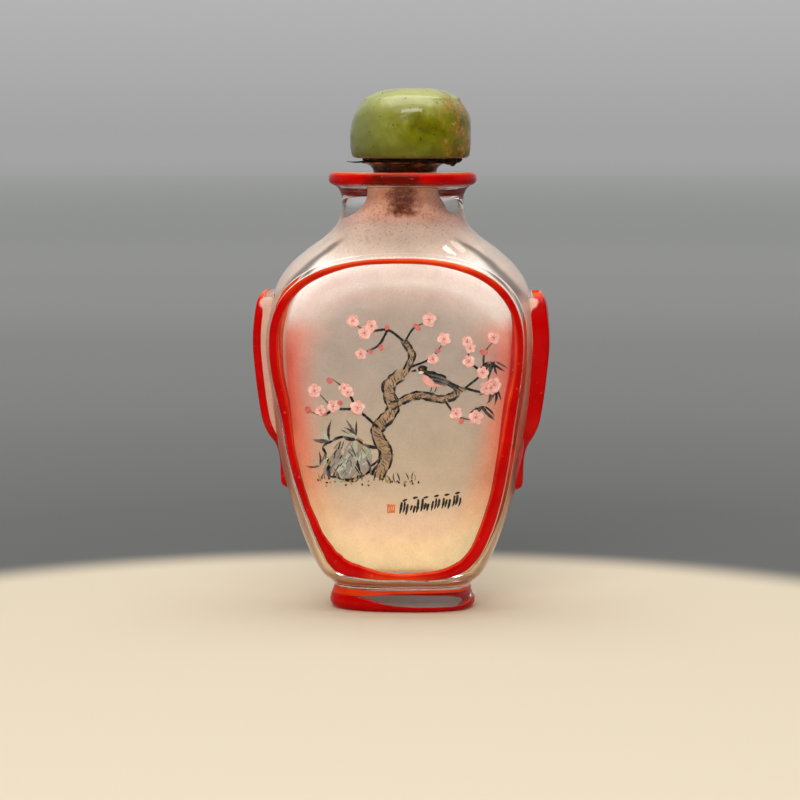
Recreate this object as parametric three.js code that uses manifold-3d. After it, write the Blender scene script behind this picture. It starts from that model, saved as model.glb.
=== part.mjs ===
// A flattened glass snuff bottle, cased in red over clear glass, with a domed stone stopper.
// Millimetres, +Z up, the front panel faces -Y. The origin is under the middle of the foot.
import * as THREE from "three";
import Module from "manifold-3d";
import { mergeVertices } from "three/addons/utils/BufferGeometryUtils.js";

const wasm = await Module();
wasm.setup();

// ---- driving dimensions --------------------------------------------------------------------
const lipTop = 73.65;
const wallThickness = 2.6; // glass between the outside and the hollow, at the belly
const boreRadius = 4.8; // the drilled hole through the neck
const columns = 44; // corners round each level of the glass
const rowPitch = 2.8; // height of a facet on the long curves

// Outside of the glass from the foot to the lip: half-width, half-depth, height, squareness.
const footLevels = [
  [11.3, 6.5, 0, 2.5],
  [12, 7, 0.5, 2.5],
  [12.25, 7.2, 1.5, 2.5],
  [11.5, 6.7, 3.8, 2.5],
  [12.1, 7.5, 4.7, 2.6],
];
const bodyLevels = [
  [13.5, 9.2, 6, 2.8],
  [15.2, 10.3, 9, 3.1],
  [17, 10.9, 13.4, 3.4],
  [19, 11.1, 19.6, 3.8],
  [20.9, 11.2, 28.5, 4],
  [22.1, 11.2, 39, 4],
  [22.2, 11.1, 48.5, 4],
  [21.2, 10.7, 54.4, 3.6],
  [19, 10.2, 58, 3.1],
  [15.8, 9.7, 60.9, 2.6],
  [12.9, 9.2, 63, 2.3],
];
const neckLevels = [
  [10.7, 8.7, 65.2, 2.1],
  [10.1, 8.5, 67.6, 2.1],
  [10.2, 8.6, 70, 2.1],
  [11.1, 9.5, 71.2, 2.1],
];
const lipLevels = [
  [12.2, 10.6, 71.7, 2.1],
  [12.4, 10.8, 72.5, 2.1],
  [12.3, 10.7, 73.1, 2.1],
  [11.7, 10.1, lipTop, 2.1],
];

// The hollow, from above the mouth down to its floor: half-width, half-depth, height, squareness.
const mouthLevels = [
  [boreRadius + 0.3, boreRadius + 0.3, lipTop + 0.3, 2],
  [boreRadius, boreRadius, lipTop - 0.2, 2],
  [boreRadius, boreRadius, 69.6, 2],
];
const hollowLevels = [
  [5.2, 5, 68.2, 2],
  [6, 5.2, 66.8, 2],
  [7.5, 5.6, 65.2, 2.1],
  [9.6, 6.2, 63, 2.2],
  [12.2, 6.9, 60.8, 2.4],
  [15.2, 7.6, 57.6, 2.8],
  [17.9, 8, 53.4, 3.1],
  [22.2 - wallThickness, 8.2, 47.5, 3.3],
  [22.1 - wallThickness, 8.2, 39, 3.3],
  [18.4, 8.2, 29, 3.3],
  [16.3, 8.1, 20, 3.2],
  [14.4, 8, 14, 3.2],
  [13.4, 7.95, 10.6, 3],
  [12.9, 7.85, 9, 2.9],
  [12.5, 7.65, 8, 2.8],
  [11.8, 7.1, 7.3, 2.6],
  [9.8, 5.6, 7.05, 2.5],
  [6.5, 3.6, 6.95, 2.4],
];

// The raised panel: an oval that is wider above than below, squarer below than above.
const panel = {
  halfWidth: 19.1,
  halfHeight: 26.6,
  middle: 33.1,
  widening: 0.287,
  shoulders: 0.258,
  topSquareness: 2.3,
  bottomSquareness: 2.6,
  face: 12, // distance of the flat face from the middle of the bottle
  rimWidth: 1.3,
  rimRise: 0.5, // the red rim stands this far above the face
  flare: 0.8, // how far the foot of the raised wall spreads
  leanDeg: 1.3, // the oval stands a little off upright, its foot to the right
};
// How far the hand-cut outline leaves that oval: degrees round from the right, millimetres outwards.
const panelSwell = [
  [-90, 0], [-78, 0.35], [-66, 0.9], [-58, 1.2], [-50, 1], [-43, 0.65], [-32, 0.45], [-10, 0.4],
  [8, 0.15], [20, 0], [165, 0], [172, -0.1], [182, -0.05], [192, 0.15], [200, 0.1], [207, -0.2],
  [216, -0.35], [224, -0.1], [229, 0.25], [233, 0.8], [238, 1.1], [243, 0.9], [247, 0.5], [254, 0.2],
  [270, 0],
];

// The lappet carved on each narrow side: distance out, half-width, height.
const lappet = [
  [19.3, 2.1, 20.2],
  [20.4, 3, 21],
  [20.45, 3.4, 22.6],
  [20.6, 3.5, 24.4],
  [20.9, 3.5, 26.4],
  [21.4, 3.6, 28.7],
  [22.7, 5.2, 30.1],
  [23.8, 5.4, 34.5],
  [24.5, 5.5, 40],
  [24.9, 5.5, 45],
  [24.7, 5.4, 49],
  [24.1, 4.7, 52.4],
  [23.3, 3.4, 53.7],
];
const lappetChamfer = 0.45;
const lappetRoot = 4; // how deep the lappet's solid runs into the glass

// The stopper, a little off the axis as it was glued.
const cork = { radius: 4.5, tip: 4.2, bottom: 66.3, offset: 0.2 };
const collar = { bottom: lipTop, top: 75.3, foot: 5.3, brim: 7.2, offset: 0.4 };
const glue = { top: 75.95, radius: 7.4, offset: 0.7 };
const glueLump = { x: 8.1, y: -1.2, halfWidth: 2.1, halfDepth: 3, bottom: 74.5 };
const cap = { bottom: glue.top, top: 87.6, radius: 10.2, offset: 1.4, waist: 79.5 };

// ---- shapes --------------------------------------------------------------------------------

// One level of an oval form: a superellipse round the upright axis.
function oval(halfWidth, halfDepth, height, squareness, count, offset = 0) {
  return Array.from({ length: count }, (_, i) => {
    const angle = (2 * Math.PI * i) / count;
    const c = Math.cos(angle);
    const s = Math.sin(angle);
    const reach = (Math.abs(c) ** squareness + Math.abs(s) ** squareness) ** (-1 / squareness);
    return new THREE.Vector3(offset + halfWidth * c * reach, halfDepth * s * reach, height);
  });
}

// Levels along a smooth curve through the given ones, a row every pitch or so.
function levelsThrough(levels, pitch) {
  const sizes = levels.map(([width, depth, height]) => new THREE.Vector3(width, depth, height));
  const curve = new THREE.CatmullRomCurve3(sizes, false, "centripetal");
  const spans = levels.length - 1;
  const rows = [];
  for (let span = 0; span < spans; span++) {
    const steps = Math.max(1, Math.round(sizes[span].distanceTo(sizes[span + 1]) / pitch));
    for (let step = 0; step < steps; step++) {
      const at = curve.getPoint((span + step / steps) / spans);
      const squareness = THREE.MathUtils.lerp(levels[span][3], levels[span + 1][3], step / steps);
      rows.push([at.x, at.y, at.z, squareness]);
    }
  }
  return [...rows, levels[spans]];
}

// A value read off a table of [place, value] rows, along straight lines between them.
function tableValue(table, place) {
  const next = Math.max(1, table.findIndex(([at]) => at >= place));
  const [[lowAt, low], [highAt, high]] = table.slice(next - 1, next + 1);
  return THREE.MathUtils.mapLinear(place, lowAt, highAt, low, high);
}

// The panel's outline in the XZ plane: the leaning oval with its swell, moved outwards by grow.
function panelOutline(grow, count) {
  const middle = new THREE.Vector2(0, panel.middle);
  const lean = THREE.MathUtils.degToRad(panel.leanDeg);
  const at = (angle) => {
    const c = Math.cos(angle);
    const s = Math.sin(angle);
    const power = s > 0 ? panel.topSquareness : panel.bottomSquareness;
    const reach = (Math.abs(c) ** power + Math.abs(s) ** power) ** (-1 / power);
    const rise = s * reach;
    const width = panel.halfWidth * (1 + panel.widening * rise + panel.shoulders * rise ** 2);
    return new THREE.Vector2(width * c * reach, panel.middle + panel.halfHeight * rise);
  };
  return Array.from({ length: count }, (_, i) => {
    const angle = (2 * Math.PI * i) / count;
    const along = at(angle + 1e-3).sub(at(angle - 1e-3)).normalize();
    const turned = THREE.MathUtils.radToDeg(angle);
    const out = grow + tableValue(panelSwell, turned > 270 ? turned - 360 : turned);
    return at(angle).addScaledVector(new THREE.Vector2(along.y, -along.x), out).rotateAround(middle, lean);
  });
}

// A closed skin over a stack of rings, each end closed by a fan to its middle.
function skin(rings) {
  const count = rings[0].length;
  const points = rings.flat();
  const faces = [];
  for (let row = 0; row + 1 < rings.length; row++) {
    for (let i = 0; i < count; i++) {
      const a = row * count + i;
      const b = row * count + ((i + 1) % count);
      faces.push(a, b, b + count, a, b + count, a + count);
    }
  }
  for (const [row, turned] of [[0, true], [rings.length - 1, false]]) {
    const middle = new THREE.Vector3();
    rings[row].forEach((p) => middle.addScaledVector(p, 1 / count));
    points.push(middle);
    for (let i = 0; i < count; i++) {
      const a = row * count + i;
      const b = row * count + ((i + 1) % count);
      faces.push(...(turned ? [b, a] : [a, b]), points.length - 1);
    }
  }
  const geometry = new THREE.BufferGeometry().setFromPoints(points);
  geometry.setIndex(faces);
  return geometry;
}

// ---- solids: joining and cutting -----------------------------------------------------------

function solid(geometry) {
  const bare = geometry.clone();
  bare.deleteAttribute("normal");
  bare.deleteAttribute("uv");
  const merged = mergeVertices(bare, 1e-4);
  const made = new wasm.Manifold(
    new wasm.Mesh({
      numProp: 3,
      vertProperties: merged.attributes.position.array,
      triVerts: new Uint32Array(merged.index.array),
    }),
  );
  return made;
}

function geometryOf(made) {
  const { vertProperties, triVerts } = made.getMesh();
  const geometry = new THREE.BufferGeometry();
  geometry.setAttribute("position", new THREE.BufferAttribute(vertProperties, 3));
  geometry.setIndex(new THREE.BufferAttribute(triVerts, 1));
  geometry.computeVertexNormals();
  return geometry;
}

function mirrored(geometry, x, y) {
  const turned = geometry.clone().applyMatrix4(new THREE.Matrix4().makeScale(x, y, 1));
  const faces = turned.index.array;
  for (let i = 0; i < faces.length; i += 3) [faces[i], faces[i + 1]] = [faces[i + 1], faces[i]];
  return turned;
}

// ---- the bottle ----------------------------------------------------------------------------

function outside() {
  const levels = levelsThrough([...footLevels, ...bodyLevels, ...neckLevels, ...lipLevels], rowPitch);
  return skin(levels.map(([w, d, h, n]) => oval(w, d, h, n, columns)));
}

function hollow() {
  const levels = levelsThrough([...mouthLevels, ...hollowLevels], rowPitch).reverse();
  return skin(levels.map(([w, d, h, n]) => oval(w, d, h, n, columns)));
}

// A shallow dish ground under the foot, which leaves a flat foot ring to stand on.
function footDish() {
  const ring = 2.2;
  const depth = 0.8;
  const [width, depthwise, , squareness] = footLevels[0];
  return skin([
    oval(width - ring + 0.3, depthwise - ring + 0.3, -0.3, squareness, columns),
    oval(width - ring, depthwise - ring, 0, squareness, columns),
    oval(width - ring - 1, depthwise - ring - 1, depth, squareness, columns),
  ]);
}

// The raised front panel with its standing rim, from its root in the glass to its flat face.
function raisedPanel() {
  const count = 56;
  const { face, rimWidth, rimRise, flare } = panel;
  const ring = (grow, y) => panelOutline(grow, count).map((p) => new THREE.Vector3(p.x, -y, p.y));
  return skin([
    ring(flare, 5.5),
    ring(flare, 8.6),
    ring(flare / 4, face - 1.4),
    ring(0, face - 0.5),
    ring(0, face + rimRise - 0.2),
    ring(-0.25, face + rimRise),
    ring(-rimWidth + 0.2, face + rimRise),
    ring(-rimWidth, face),
  ]);
}

// The lappet on the right: a stack of levels, each with its outer corners chamfered.
function sideLappet() {
  const cut = lappetChamfer;
  return skin(
    lappet.map(([out, half, height]) =>
      [
        [out - lappetRoot, -half],
        [out - cut, -half],
        [out, -half + cut],
        [out, half - cut],
        [out - cut, half],
        [out - lappetRoot, half],
      ].map(([x, y]) => new THREE.Vector3(x, y, height)),
    ),
  );
}

function bottle() {
  const front = raisedPanel();
  const right = sideLappet();
  const form = solid(outside())
    .add(solid(front))
    .add(solid(mirrored(front, 1, -1)))
    .add(solid(right))
    .add(solid(mirrored(right, -1, 1)));
  return geometryOf(form.subtract(solid(hollow())).subtract(solid(footDish())));
}

// ---- the stopper ---------------------------------------------------------------------------

// A turned form standing off the axis: profile points are radius and height, on the axis at both ends.
function turned(profile, offset, sides) {
  const points = profile.map(([radius, height]) => new THREE.Vector2(radius, height));
  return new THREE.LatheGeometry(points, sides).rotateX(Math.PI / 2).translate(offset, 0, 0);
}

function corkPlug() {
  const { radius, tip, bottom, offset } = cork;
  const profile = [[0, bottom], [tip - 0.4, bottom], [tip, bottom + 0.5], [radius, lipTop], [0, lipTop]];
  return turned(profile, offset, 24);
}

// The trumpet-shaped collar: its wall is a quarter of an ellipse, hollow side outwards.
function flaredCollar() {
  const { bottom, top, foot, brim, offset } = collar;
  const steps = 5;
  const wall = Array.from({ length: steps + 1 }, (_, i) => {
    const angle = (Math.PI / 2) * (i / steps);
    return [brim - (brim - foot) * Math.cos(angle), bottom + (top - 0.25 - bottom) * Math.sin(angle)];
  });
  return turned([[0, bottom], ...wall, [brim, top], [0, top]], offset, 32);
}

// The bed of dark lacquer under the cap, with the lump that was squeezed out at its right.
function glueBed() {
  const { top, radius, offset } = glue;
  const bed = turned([[0, collar.top], [radius, collar.top], [radius, top], [0, top]], offset, 32);
  const { x, y, halfWidth, halfDepth, bottom } = glueLump;
  const drop = top - bottom;
  const lump = skin(
    [[0.5, 0], [0.85, 0.3], [1, 0.7], [1, 1]].map(([spread, up]) =>
      oval(halfWidth * spread, halfDepth * spread, bottom + drop * up, 2, 16, x)
        .map((p) => p.setY(p.y + y)),
    ),
  );
  const clear = turned(
    [
      [0, collar.bottom - 1],
      [collar.brim + 0.3, collar.bottom - 1],
      [collar.brim + 0.3, collar.top],
      [0, collar.top],
    ],
    collar.offset,
    32,
  );
  return geometryOf(solid(bed).add(solid(lump).subtract(solid(clear))));
}

// The domed cap: a barrel side that turns into a low dome, with a small round at the bottom edge.
function domedCap() {
  const { bottom, top, radius, offset, waist } = cap;
  const steps = 9;
  const dome = Array.from({ length: steps }, (_, i) => {
    const angle = (Math.PI / 2) * (i / steps);
    return [radius * Math.cos(angle) ** 0.62, waist + (top - waist) * Math.sin(angle) ** 0.94];
  });
  const side = [
    [0, bottom],
    [radius - 1, bottom],
    [radius - 0.4, bottom + 0.3],
    [radius - 0.1, bottom + 1.1],
  ];
  return turned([...side, ...dome, [0, top]], offset, 40);
}

// ---- the object ----------------------------------------------------------------------------

const finishes = {
  glass: { color: 0xe9dccf, roughness: 0.05, metalness: 0, transparent: true, opacity: 0.5 },
  cork: { color: 0x8a5a34, roughness: 0.9, metalness: 0 },
  horn: { color: 0x4a1208, roughness: 0.3, metalness: 0 },
  lacquer: { color: 0x0d0a0a, roughness: 0.4, metalness: 0 },
  greenStone: { color: 0x8f9a4c, roughness: 0.2, metalness: 0 },
};

function piece(name, geometry, finish) {
  const mesh = new THREE.Mesh(geometry, new THREE.MeshStandardMaterial(finishes[finish]));
  mesh.name = name;
  return mesh;
}

const snuffBottle = new THREE.Group();
const stopper = new THREE.Group();
stopper.add(piece("stopper_cork", corkPlug(), "cork"));
stopper.add(piece("stopper_collar", flaredCollar(), "horn"));
stopper.add(piece("stopper_glue", glueBed(), "lacquer"));
stopper.add(piece("stopper_cap", domedCap(), "greenStone"));
snuffBottle.add(piece("glass_bottle", bottle(), "glass"), stopper);

export default snuffBottle;
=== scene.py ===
import math

import bpy
import numpy as np
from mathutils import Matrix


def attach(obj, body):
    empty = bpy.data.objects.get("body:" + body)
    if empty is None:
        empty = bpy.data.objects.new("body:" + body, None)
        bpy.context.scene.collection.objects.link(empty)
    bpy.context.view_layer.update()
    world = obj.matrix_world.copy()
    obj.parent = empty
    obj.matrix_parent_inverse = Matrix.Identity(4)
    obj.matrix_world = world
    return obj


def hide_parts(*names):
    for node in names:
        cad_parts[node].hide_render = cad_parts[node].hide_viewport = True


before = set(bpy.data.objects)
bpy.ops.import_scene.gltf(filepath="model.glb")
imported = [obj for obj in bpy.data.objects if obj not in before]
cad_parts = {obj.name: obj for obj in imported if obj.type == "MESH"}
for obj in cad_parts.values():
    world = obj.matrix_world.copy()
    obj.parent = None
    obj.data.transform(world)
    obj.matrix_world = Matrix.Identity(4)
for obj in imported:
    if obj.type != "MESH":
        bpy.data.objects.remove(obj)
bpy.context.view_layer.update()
print("frame loaded:", sorted(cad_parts))

rng = np.random.default_rng(17)
millimetre = 0.001
viewLayer = bpy.context.view_layer


# Small helpers for surfaces.

def curveThrough(levels, pitch):
    # Centripetal Catmull-Rom: each span is the cubic whose end slopes come from the neighbours,
    # with the knots spaced by the square root of the distance; a row about every pitch.
    points = np.asarray(levels, float)
    ends = np.vstack([2 * points[0] - points[1], points, 2 * points[-1] - points[-2]])
    gap = np.maximum(np.linalg.norm(np.diff(ends[:, :3], axis=0), axis=1), 1e-6) ** 0.5
    rows = []
    for i in range(len(points) - 1):
        before, here, after = gap[i:i + 3]
        p0, p1, p2, p3 = ends[i:i + 4]
        leave = ((p1 - p0) / before - (p2 - p0) / (before + here) + (p2 - p1) / here) * here
        arrive = ((p2 - p1) / here - (p3 - p1) / (here + after) + (p3 - p2) / after) * here
        steps = max(1, round(float(np.linalg.norm((p2 - p1)[:3])) / pitch))
        t = (np.arange(steps) / steps)[:, None]
        rows.append((2 * (p1 - p2) + leave + arrive) * t ** 3
                    + (3 * (p2 - p1) - 2 * leave - arrive) * t ** 2 + leave * t + p1)
    return np.vstack(rows + [points[-1:]])


def fadeIn(value, start, full):
    # 0 at start and 1 at full, straight between them; start may be the greater.
    return np.clip((value - start) / (full - start), 0, 1)


def eased(t):
    # 3 t^2 - 2 t^3, which starts and ends level.
    return t * t * (3 - 2 * t)


def waves(angle, table):
    # A sum of sines round a form: each row of the table is a count, a depth and a start.
    return sum(deep * np.sin(count * angle + start) for count, deep, start in table)


def ovalRings(rows, columns, offset=(0.0, 0.0)):
    # Superellipse in polar form: reach = (|cos|^n + |sin|^n)^(-1/n), x = a cos reach, y = b sin reach.
    angle = np.linspace(0, 2 * np.pi, columns, endpoint=False)[None, :]
    a, b, z, n = (rows[:, i:i + 1] for i in range(4))
    c, s = np.cos(angle), np.sin(angle)
    reach = (np.abs(c) ** n + np.abs(s) ** n) ** (-1 / n)
    return np.stack([offset[0] + a * c * reach, offset[1] + b * s * reach, z + 0 * c], -1)


def skin(rings, torus=False):
    # Quads between neighbouring rings of a grid that wraps round in its second direction. An open
    # stack is closed by a fan to the middle of each end ring; a torus joins its last ring to its first.
    rows, columns = rings.shape[:2]
    points = rings.reshape(-1, 3)
    r = np.arange(rows if torus else rows - 1)[:, None]
    c = np.arange(columns)[None, :]
    nextRow, nextColumn = (r + 1) % rows, (c + 1) % columns
    quads = np.stack([r * columns + c, r * columns + nextColumn,
                      nextRow * columns + nextColumn, nextRow * columns + c], -1).reshape(-1, 4)
    faces = quads.tolist()
    if not torus:
        points = np.vstack([points, rings[0].mean(0), rings[-1].mean(0)])
        c = np.arange(columns)
        last = (rows - 1) * columns
        faces += np.stack([(c + 1) % columns, c, np.full(columns, len(points) - 2)], -1).tolist()
        faces += np.stack([last + c, last + (c + 1) % columns,
                           np.full(columns, len(points) - 1)], -1).tolist()
    return points, faces


def volumeOf(points, faces):
    # A sixth of the sum of each triangle's corners' triple product, fanned from its first corner.
    total = 0.0
    for size in (3, 4):
        group = np.array([f for f in faces if len(f) == size])
        for k in range(1, size - 1):
            if len(group):
                a, b, c = points[group[:, 0]], points[group[:, k]], points[group[:, k + 1]]
                total += np.einsum("ij,ij->i", a, np.cross(b, c)).sum() / 6
    return total


def joined(parts):
    # Several closed skins as one: indices are moved on by the points before them.
    points, faces, start = [], [], 0
    for somePoints, someFaces in parts:
        if volumeOf(somePoints, someFaces) < 0:
            someFaces = [f[::-1] for f in someFaces]
        points.append(somePoints)
        faces += [[i + start for i in f] for f in someFaces]
        start += len(somePoints)
    return np.vstack(points), faces


def makePiece(name, parts, material, creaseDeg=38):
    points, faces = joined(parts)
    mesh = bpy.data.meshes.new(name)
    mesh.from_pydata((points * millimetre).tolist(), [], faces)
    mesh.update()
    if material:
        mesh.materials.append(material)
    smooth(mesh, creaseDeg)
    piece = bpy.data.objects.new(name, mesh)
    bpy.context.collection.objects.link(piece)
    return piece


def smooth(mesh, creaseDeg):
    mesh.polygons.foreach_set("use_smooth", np.ones(len(mesh.polygons), bool))
    mesh.set_sharp_from_angle(angle=math.radians(creaseDeg))


def combine(target, other, operation):
    # Joins or cuts two closed meshes and keeps the result as the target's own mesh.
    modifier = target.modifiers.new("combine", "BOOLEAN")
    modifier.operation = operation
    modifier.solver = "MANIFOLD"
    modifier.object = other
    viewLayer.update()
    made = bpy.data.meshes.new_from_object(target.evaluated_get(bpy.context.evaluated_depsgraph_get()))
    target.modifiers.clear()
    target.data = made
    bpy.data.objects.remove(other)


def finishPiece(piece, node):
    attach(piece, "root")
    if node:
        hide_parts(node)
    return piece


# Small helpers for materials.

def addNode(tree, kind, links=None, **settings):
    # A node with its settings; links maps an input's name or number to a value or another socket.
    node = tree.nodes.new("ShaderNode" + kind)
    for key, value in settings.items():
        setattr(node, key, value)
    for key, value in (links or {}).items():
        if isinstance(value, bpy.types.NodeSocket):
            tree.links.new(value, node.inputs[key])
        else:
            node.inputs[key].default_value = value
    return node


def newMaterial(name):
    # An empty material, its tree, and the place on the object that its patterns follow.
    material = bpy.data.materials.new(name)
    material.use_nodes = True
    tree = material.node_tree
    tree.nodes.clear()
    return material, tree, addNode(tree, "TexCoord").outputs["Object"]


def axesOf(tree, vector):
    return addNode(tree, "SeparateXYZ", {0: vector}).outputs


def attribute(tree, name, output="Fac"):
    return addNode(tree, "Attribute", attribute_name=name).outputs[output]


def rgba(colour):
    return (*colour, 1.0)


def grey(value):
    return (value, value, value)


def principled(tree, links, openRays=(), openTint=grey(1.0)):
    # The surface's shader; rays of the kinds in openRays pass straight through it, tinted.
    surface = addNode(tree, "BsdfPrincipled", links).outputs[0]
    if openRays:
        path = addNode(tree, "LightPath")
        through = addNode(tree, "BsdfTransparent", {"Color": rgba(openTint)}).outputs[0]
        for ray in openRays:
            surface = addNode(tree, "MixShader", {0: path.outputs[ray], 1: surface, 2: through}).outputs[0]
    addNode(tree, "OutputMaterial", {"Surface": surface})


def ramp(tree, factor, stops):
    # Each stop is a place from 0 to 1 and its colour.
    node = addNode(tree, "ValToRGB", {0: factor})
    elements = node.color_ramp.elements
    while len(elements) < len(stops):
        elements.new(0.5)
    for element, (place, colour) in zip(elements, stops):
        element.position = place
        element.color = rgba(colour)
    return node.outputs["Color"]


def mixColour(tree, factor, a, b, blend="MIX"):
    a, b = (value if isinstance(value, bpy.types.NodeSocket) else rgba(value) for value in (a, b))
    return addNode(tree, "Mix", {0: factor, 6: a, 7: b}, data_type="RGBA", blend_type=blend).outputs[2]


def noise(tree, vector, scale, detail, roughness):
    return addNode(tree, "TexNoise", {"Vector": vector, "Scale": scale, "Detail": detail,
                                      "Roughness": roughness}).outputs["Fac"]


def bump(tree, height, strength, distance):
    return addNode(tree, "Bump", {"Height": height, "Strength": strength,
                                  "Distance": distance}).outputs["Normal"]


def mapRange(tree, value, low, high, toLow=0.0, toHigh=1.0, smoothly=True):
    return addNode(tree, "MapRange", {0: value, 1: low, 2: high, 3: toLow, 4: toHigh},
                   interpolation_type="SMOOTHSTEP" if smoothly else "LINEAR").outputs[0]


def arithmetic(tree, operation, a, b):
    return addNode(tree, "Math", {0: a, 1: b}, operation=operation).outputs[0]


def times(tree, a, b):
    return arithmetic(tree, "MULTIPLY", a, b)


# In each dictionary of a look, a pattern is a noise's scale, detail and roughness, and a span is where a
# mask begins and where it's full. Places and heights are in metres, as object coordinates are.

def mask(tree, place, look, name):
    # A look's pattern, cut to its span: 0 below it and 1 above it.
    return mapRange(tree, noise(tree, place, *look[name]), *look[name + "Span"])


def gloss(look, marks):
    # The shine of a polished surface, roughened by its handling marks.
    return {"Roughness": marks["Roughness"], "IOR": look["refraction"],
            "Specular IOR Level": look["specular"], "Coat Weight": look["coat"],
            "Coat Roughness": look["coatRoughness"]}


handlingLook = {
    "smudges": (4.0, 0.6), "smudgeSpan": (0.45, 0.72),  # detail and roughness only: each material
    "specks": (2.0, 0.5), "speckSpan": (0.68, 0.76),    # gives its own scale
    "inputs": {"Smudge Scale": 120.0, "Speck Scale": 900.0, "Roughness": 0.05, "Smudge Roughness": 0.08},
}


def makeHandlingGroup():
    # Fine handling marks shared by every polished surface: broad smudges and sparse tiny specks.
    group = bpy.data.node_groups.new("handlingMarks", "ShaderNodeTree")
    face = group.interface
    face.new_socket("Vector", in_out="INPUT", socket_type="NodeSocketVector")
    for name, value in handlingLook["inputs"].items():
        face.new_socket(name, in_out="INPUT", socket_type="NodeSocketFloat").default_value = value
    for name in ("Roughness", "Specks"):
        face.new_socket(name, in_out="OUTPUT", socket_type="NodeSocketFloat")
    enter = group.nodes.new("NodeGroupInput").outputs
    leave = group.nodes.new("NodeGroupOutput").inputs
    broad = noise(group, enter["Vector"], enter["Smudge Scale"], *handlingLook["smudges"])
    smudge = mapRange(group, broad, *handlingLook["smudgeSpan"])
    rough = mapRange(group, smudge, 0.0, 1.0, enter["Roughness"], enter["Smudge Roughness"], False)
    fine = noise(group, enter["Vector"], enter["Speck Scale"], *handlingLook["specks"])
    group.links.new(rough, leave["Roughness"])
    group.links.new(mapRange(group, fine, *handlingLook["speckSpan"]), leave["Specks"])
    return group


handlingGroup = makeHandlingGroup()


def handling(tree, place, values):
    return addNode(tree, "Group", {"Vector": place, **values}, node_tree=handlingGroup).outputs


clearLook = {
    "tint": (0.975, 0.95, 0.93), "refraction": 1.5, "openTint": (0.96, 0.945, 0.93),
    "marks": {"Smudge Scale": 90.0, "Roughness": 0.012, "Smudge Roughness": 0.04},
    "waves": (170.0, 1.0, 0.5), "waveHeights": (0.055, 0.061), "waveStrength": 0.3, "waveDepth": 0.002,
}


def makeClearGlass():
    material, tree, place = newMaterial("clearGlass")
    marks = handling(tree, place, clearLook["marks"])
    # The shoulder and neck are ground by hand, so they're gently uneven.
    uneven = times(tree, noise(tree, place, *clearLook["waves"]),
                   mapRange(tree, axesOf(tree, place)["Z"], *clearLook["waveHeights"]))
    # Light from lamps, and light that has scattered inside, goes straight through the polished skin.
    principled(tree, {"Base Color": rgba(clearLook["tint"]), "IOR": clearLook["refraction"],
                      "Transmission Weight": 1.0, "Roughness": marks["Roughness"],
                      "Normal": bump(tree, uneven, clearLook["waveStrength"], clearLook["waveDepth"])},
               ("Is Diffuse Ray", "Is Shadow Ray"), clearLook["openTint"])
    return material


frostLook = {
    "roughness": 0.6, "refraction": 1.45, "through": 0.2, "bumpStrength": 0.25, "bumpDepth": 0.0001,
    "clouds": (260.0, 5.0, 0.6), "cloudShades": (0.9, 1.06),
    "grain": (3200.0, 2.0, 0.6), "grainShades": (0.93, 1.05), "shadeStops": (0.3, 0.7),
    "dirt": (2400.0, 3.0, 0.7), "dirtSpan": (0.52, 0.66), "dirtHeights": (0.056, 0.068),
    "dirtShare": 0.6, "dirtTint": (0.2, 0.085, 0.04),
    "stainLumps": (750.0, 6.0, 0.75), "lumpWeight": 2.6, "stainWeight": 2.0, "stainSpan": (2.1, 3.3),
    "stainTints": [(0.35, (0.04, 0.004, 0.0)), (0.65, (0.21, 0.04, 0.004))],
}


def makeFrostedGlass():
    material, tree, place = newMaterial("frostedGlass")
    clouds, grain = (noise(tree, place, *frostLook[name]) for name in ("clouds", "grain"))
    # The wall's colour from the mesh carries its painted glow and shade.
    toned = attribute(tree, "tint", "Color")
    for pattern, shades in ((clouds, frostLook["cloudShades"]), (grain, frostLook["grainShades"])):
        stops = [(stop, grey(shade)) for stop, shade in zip(frostLook["shadeStops"], shades)]
        toned = mixColour(tree, 1.0, toned, ramp(tree, pattern, stops), "MULTIPLY")
    # Grains of dirt gather in the shoulder and thicken up the neck, where the cork shows through.
    dirt = times(tree, mapRange(tree, axesOf(tree, place)["Z"], *frostLook["dirtHeights"]),
                 mask(tree, place, frostLook, "dirt"))
    toned = mixColour(tree, times(tree, dirt, frostLook["dirtShare"]), toned, frostLook["dirtTint"])
    # The cork's stain is solid in its middle and breaks up into lumps round it.
    stain = arithmetic(tree, "ADD", times(tree, attribute(tree, "stain"), frostLook["stainWeight"]),
                       times(tree, noise(tree, place, *frostLook["stainLumps"]), frostLook["lumpWeight"]))
    toned = mixColour(tree, mapRange(tree, stain, *frostLook["stainSpan"]), toned,
                      ramp(tree, grain, frostLook["stainTints"]))
    principled(tree, {"Base Color": toned, "Roughness": frostLook["roughness"],
                      "IOR": frostLook["refraction"], "Transmission Weight": frostLook["through"],
                      "Specular IOR Level": 0.0,
                      "Normal": bump(tree, grain, frostLook["bumpStrength"], frostLook["bumpDepth"])})
    return material


redLook = {
    "refraction": 1.5, "specular": 0.08, "coat": 0.03, "coatRoughness": 0.05,
    "bumpStrength": 0.12, "bumpDepth": 0.0002, "openTint": (0.85, 0.42, 0.32),
    "marks": {"Smudge Scale": 140.0, "Roughness": 0.12, "Smudge Roughness": 0.25, "Speck Scale": 1300.0},
    "streaks": (190.0, 4.0, 0.55),
    "deep": [(0.3, (0.33, 0.0, 0.0)), (0.7, (0.46, 0.001, 0.001))],
    "thin": [(0.3, (0.62, 0.035, 0.005)), (0.7, (0.80, 0.12, 0.015))],
    "blots": (420.0, 5.0, 0.65), "blotSpan": (0.7, 1.35), "blotTint": (0.10, 0.003, 0.0),
    "speckShare": 0.5, "speckTint": (0.6, 0.12, 0.07),
    "rubbing": (1000.0, 4.0, 0.7), "rubbingWeight": 0.8, "rubbedSpan": (0.85, 1.15),
    "rubbedShare": 0.85, "rubbedTint": (0.70, 0.36, 0.30),
}


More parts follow.
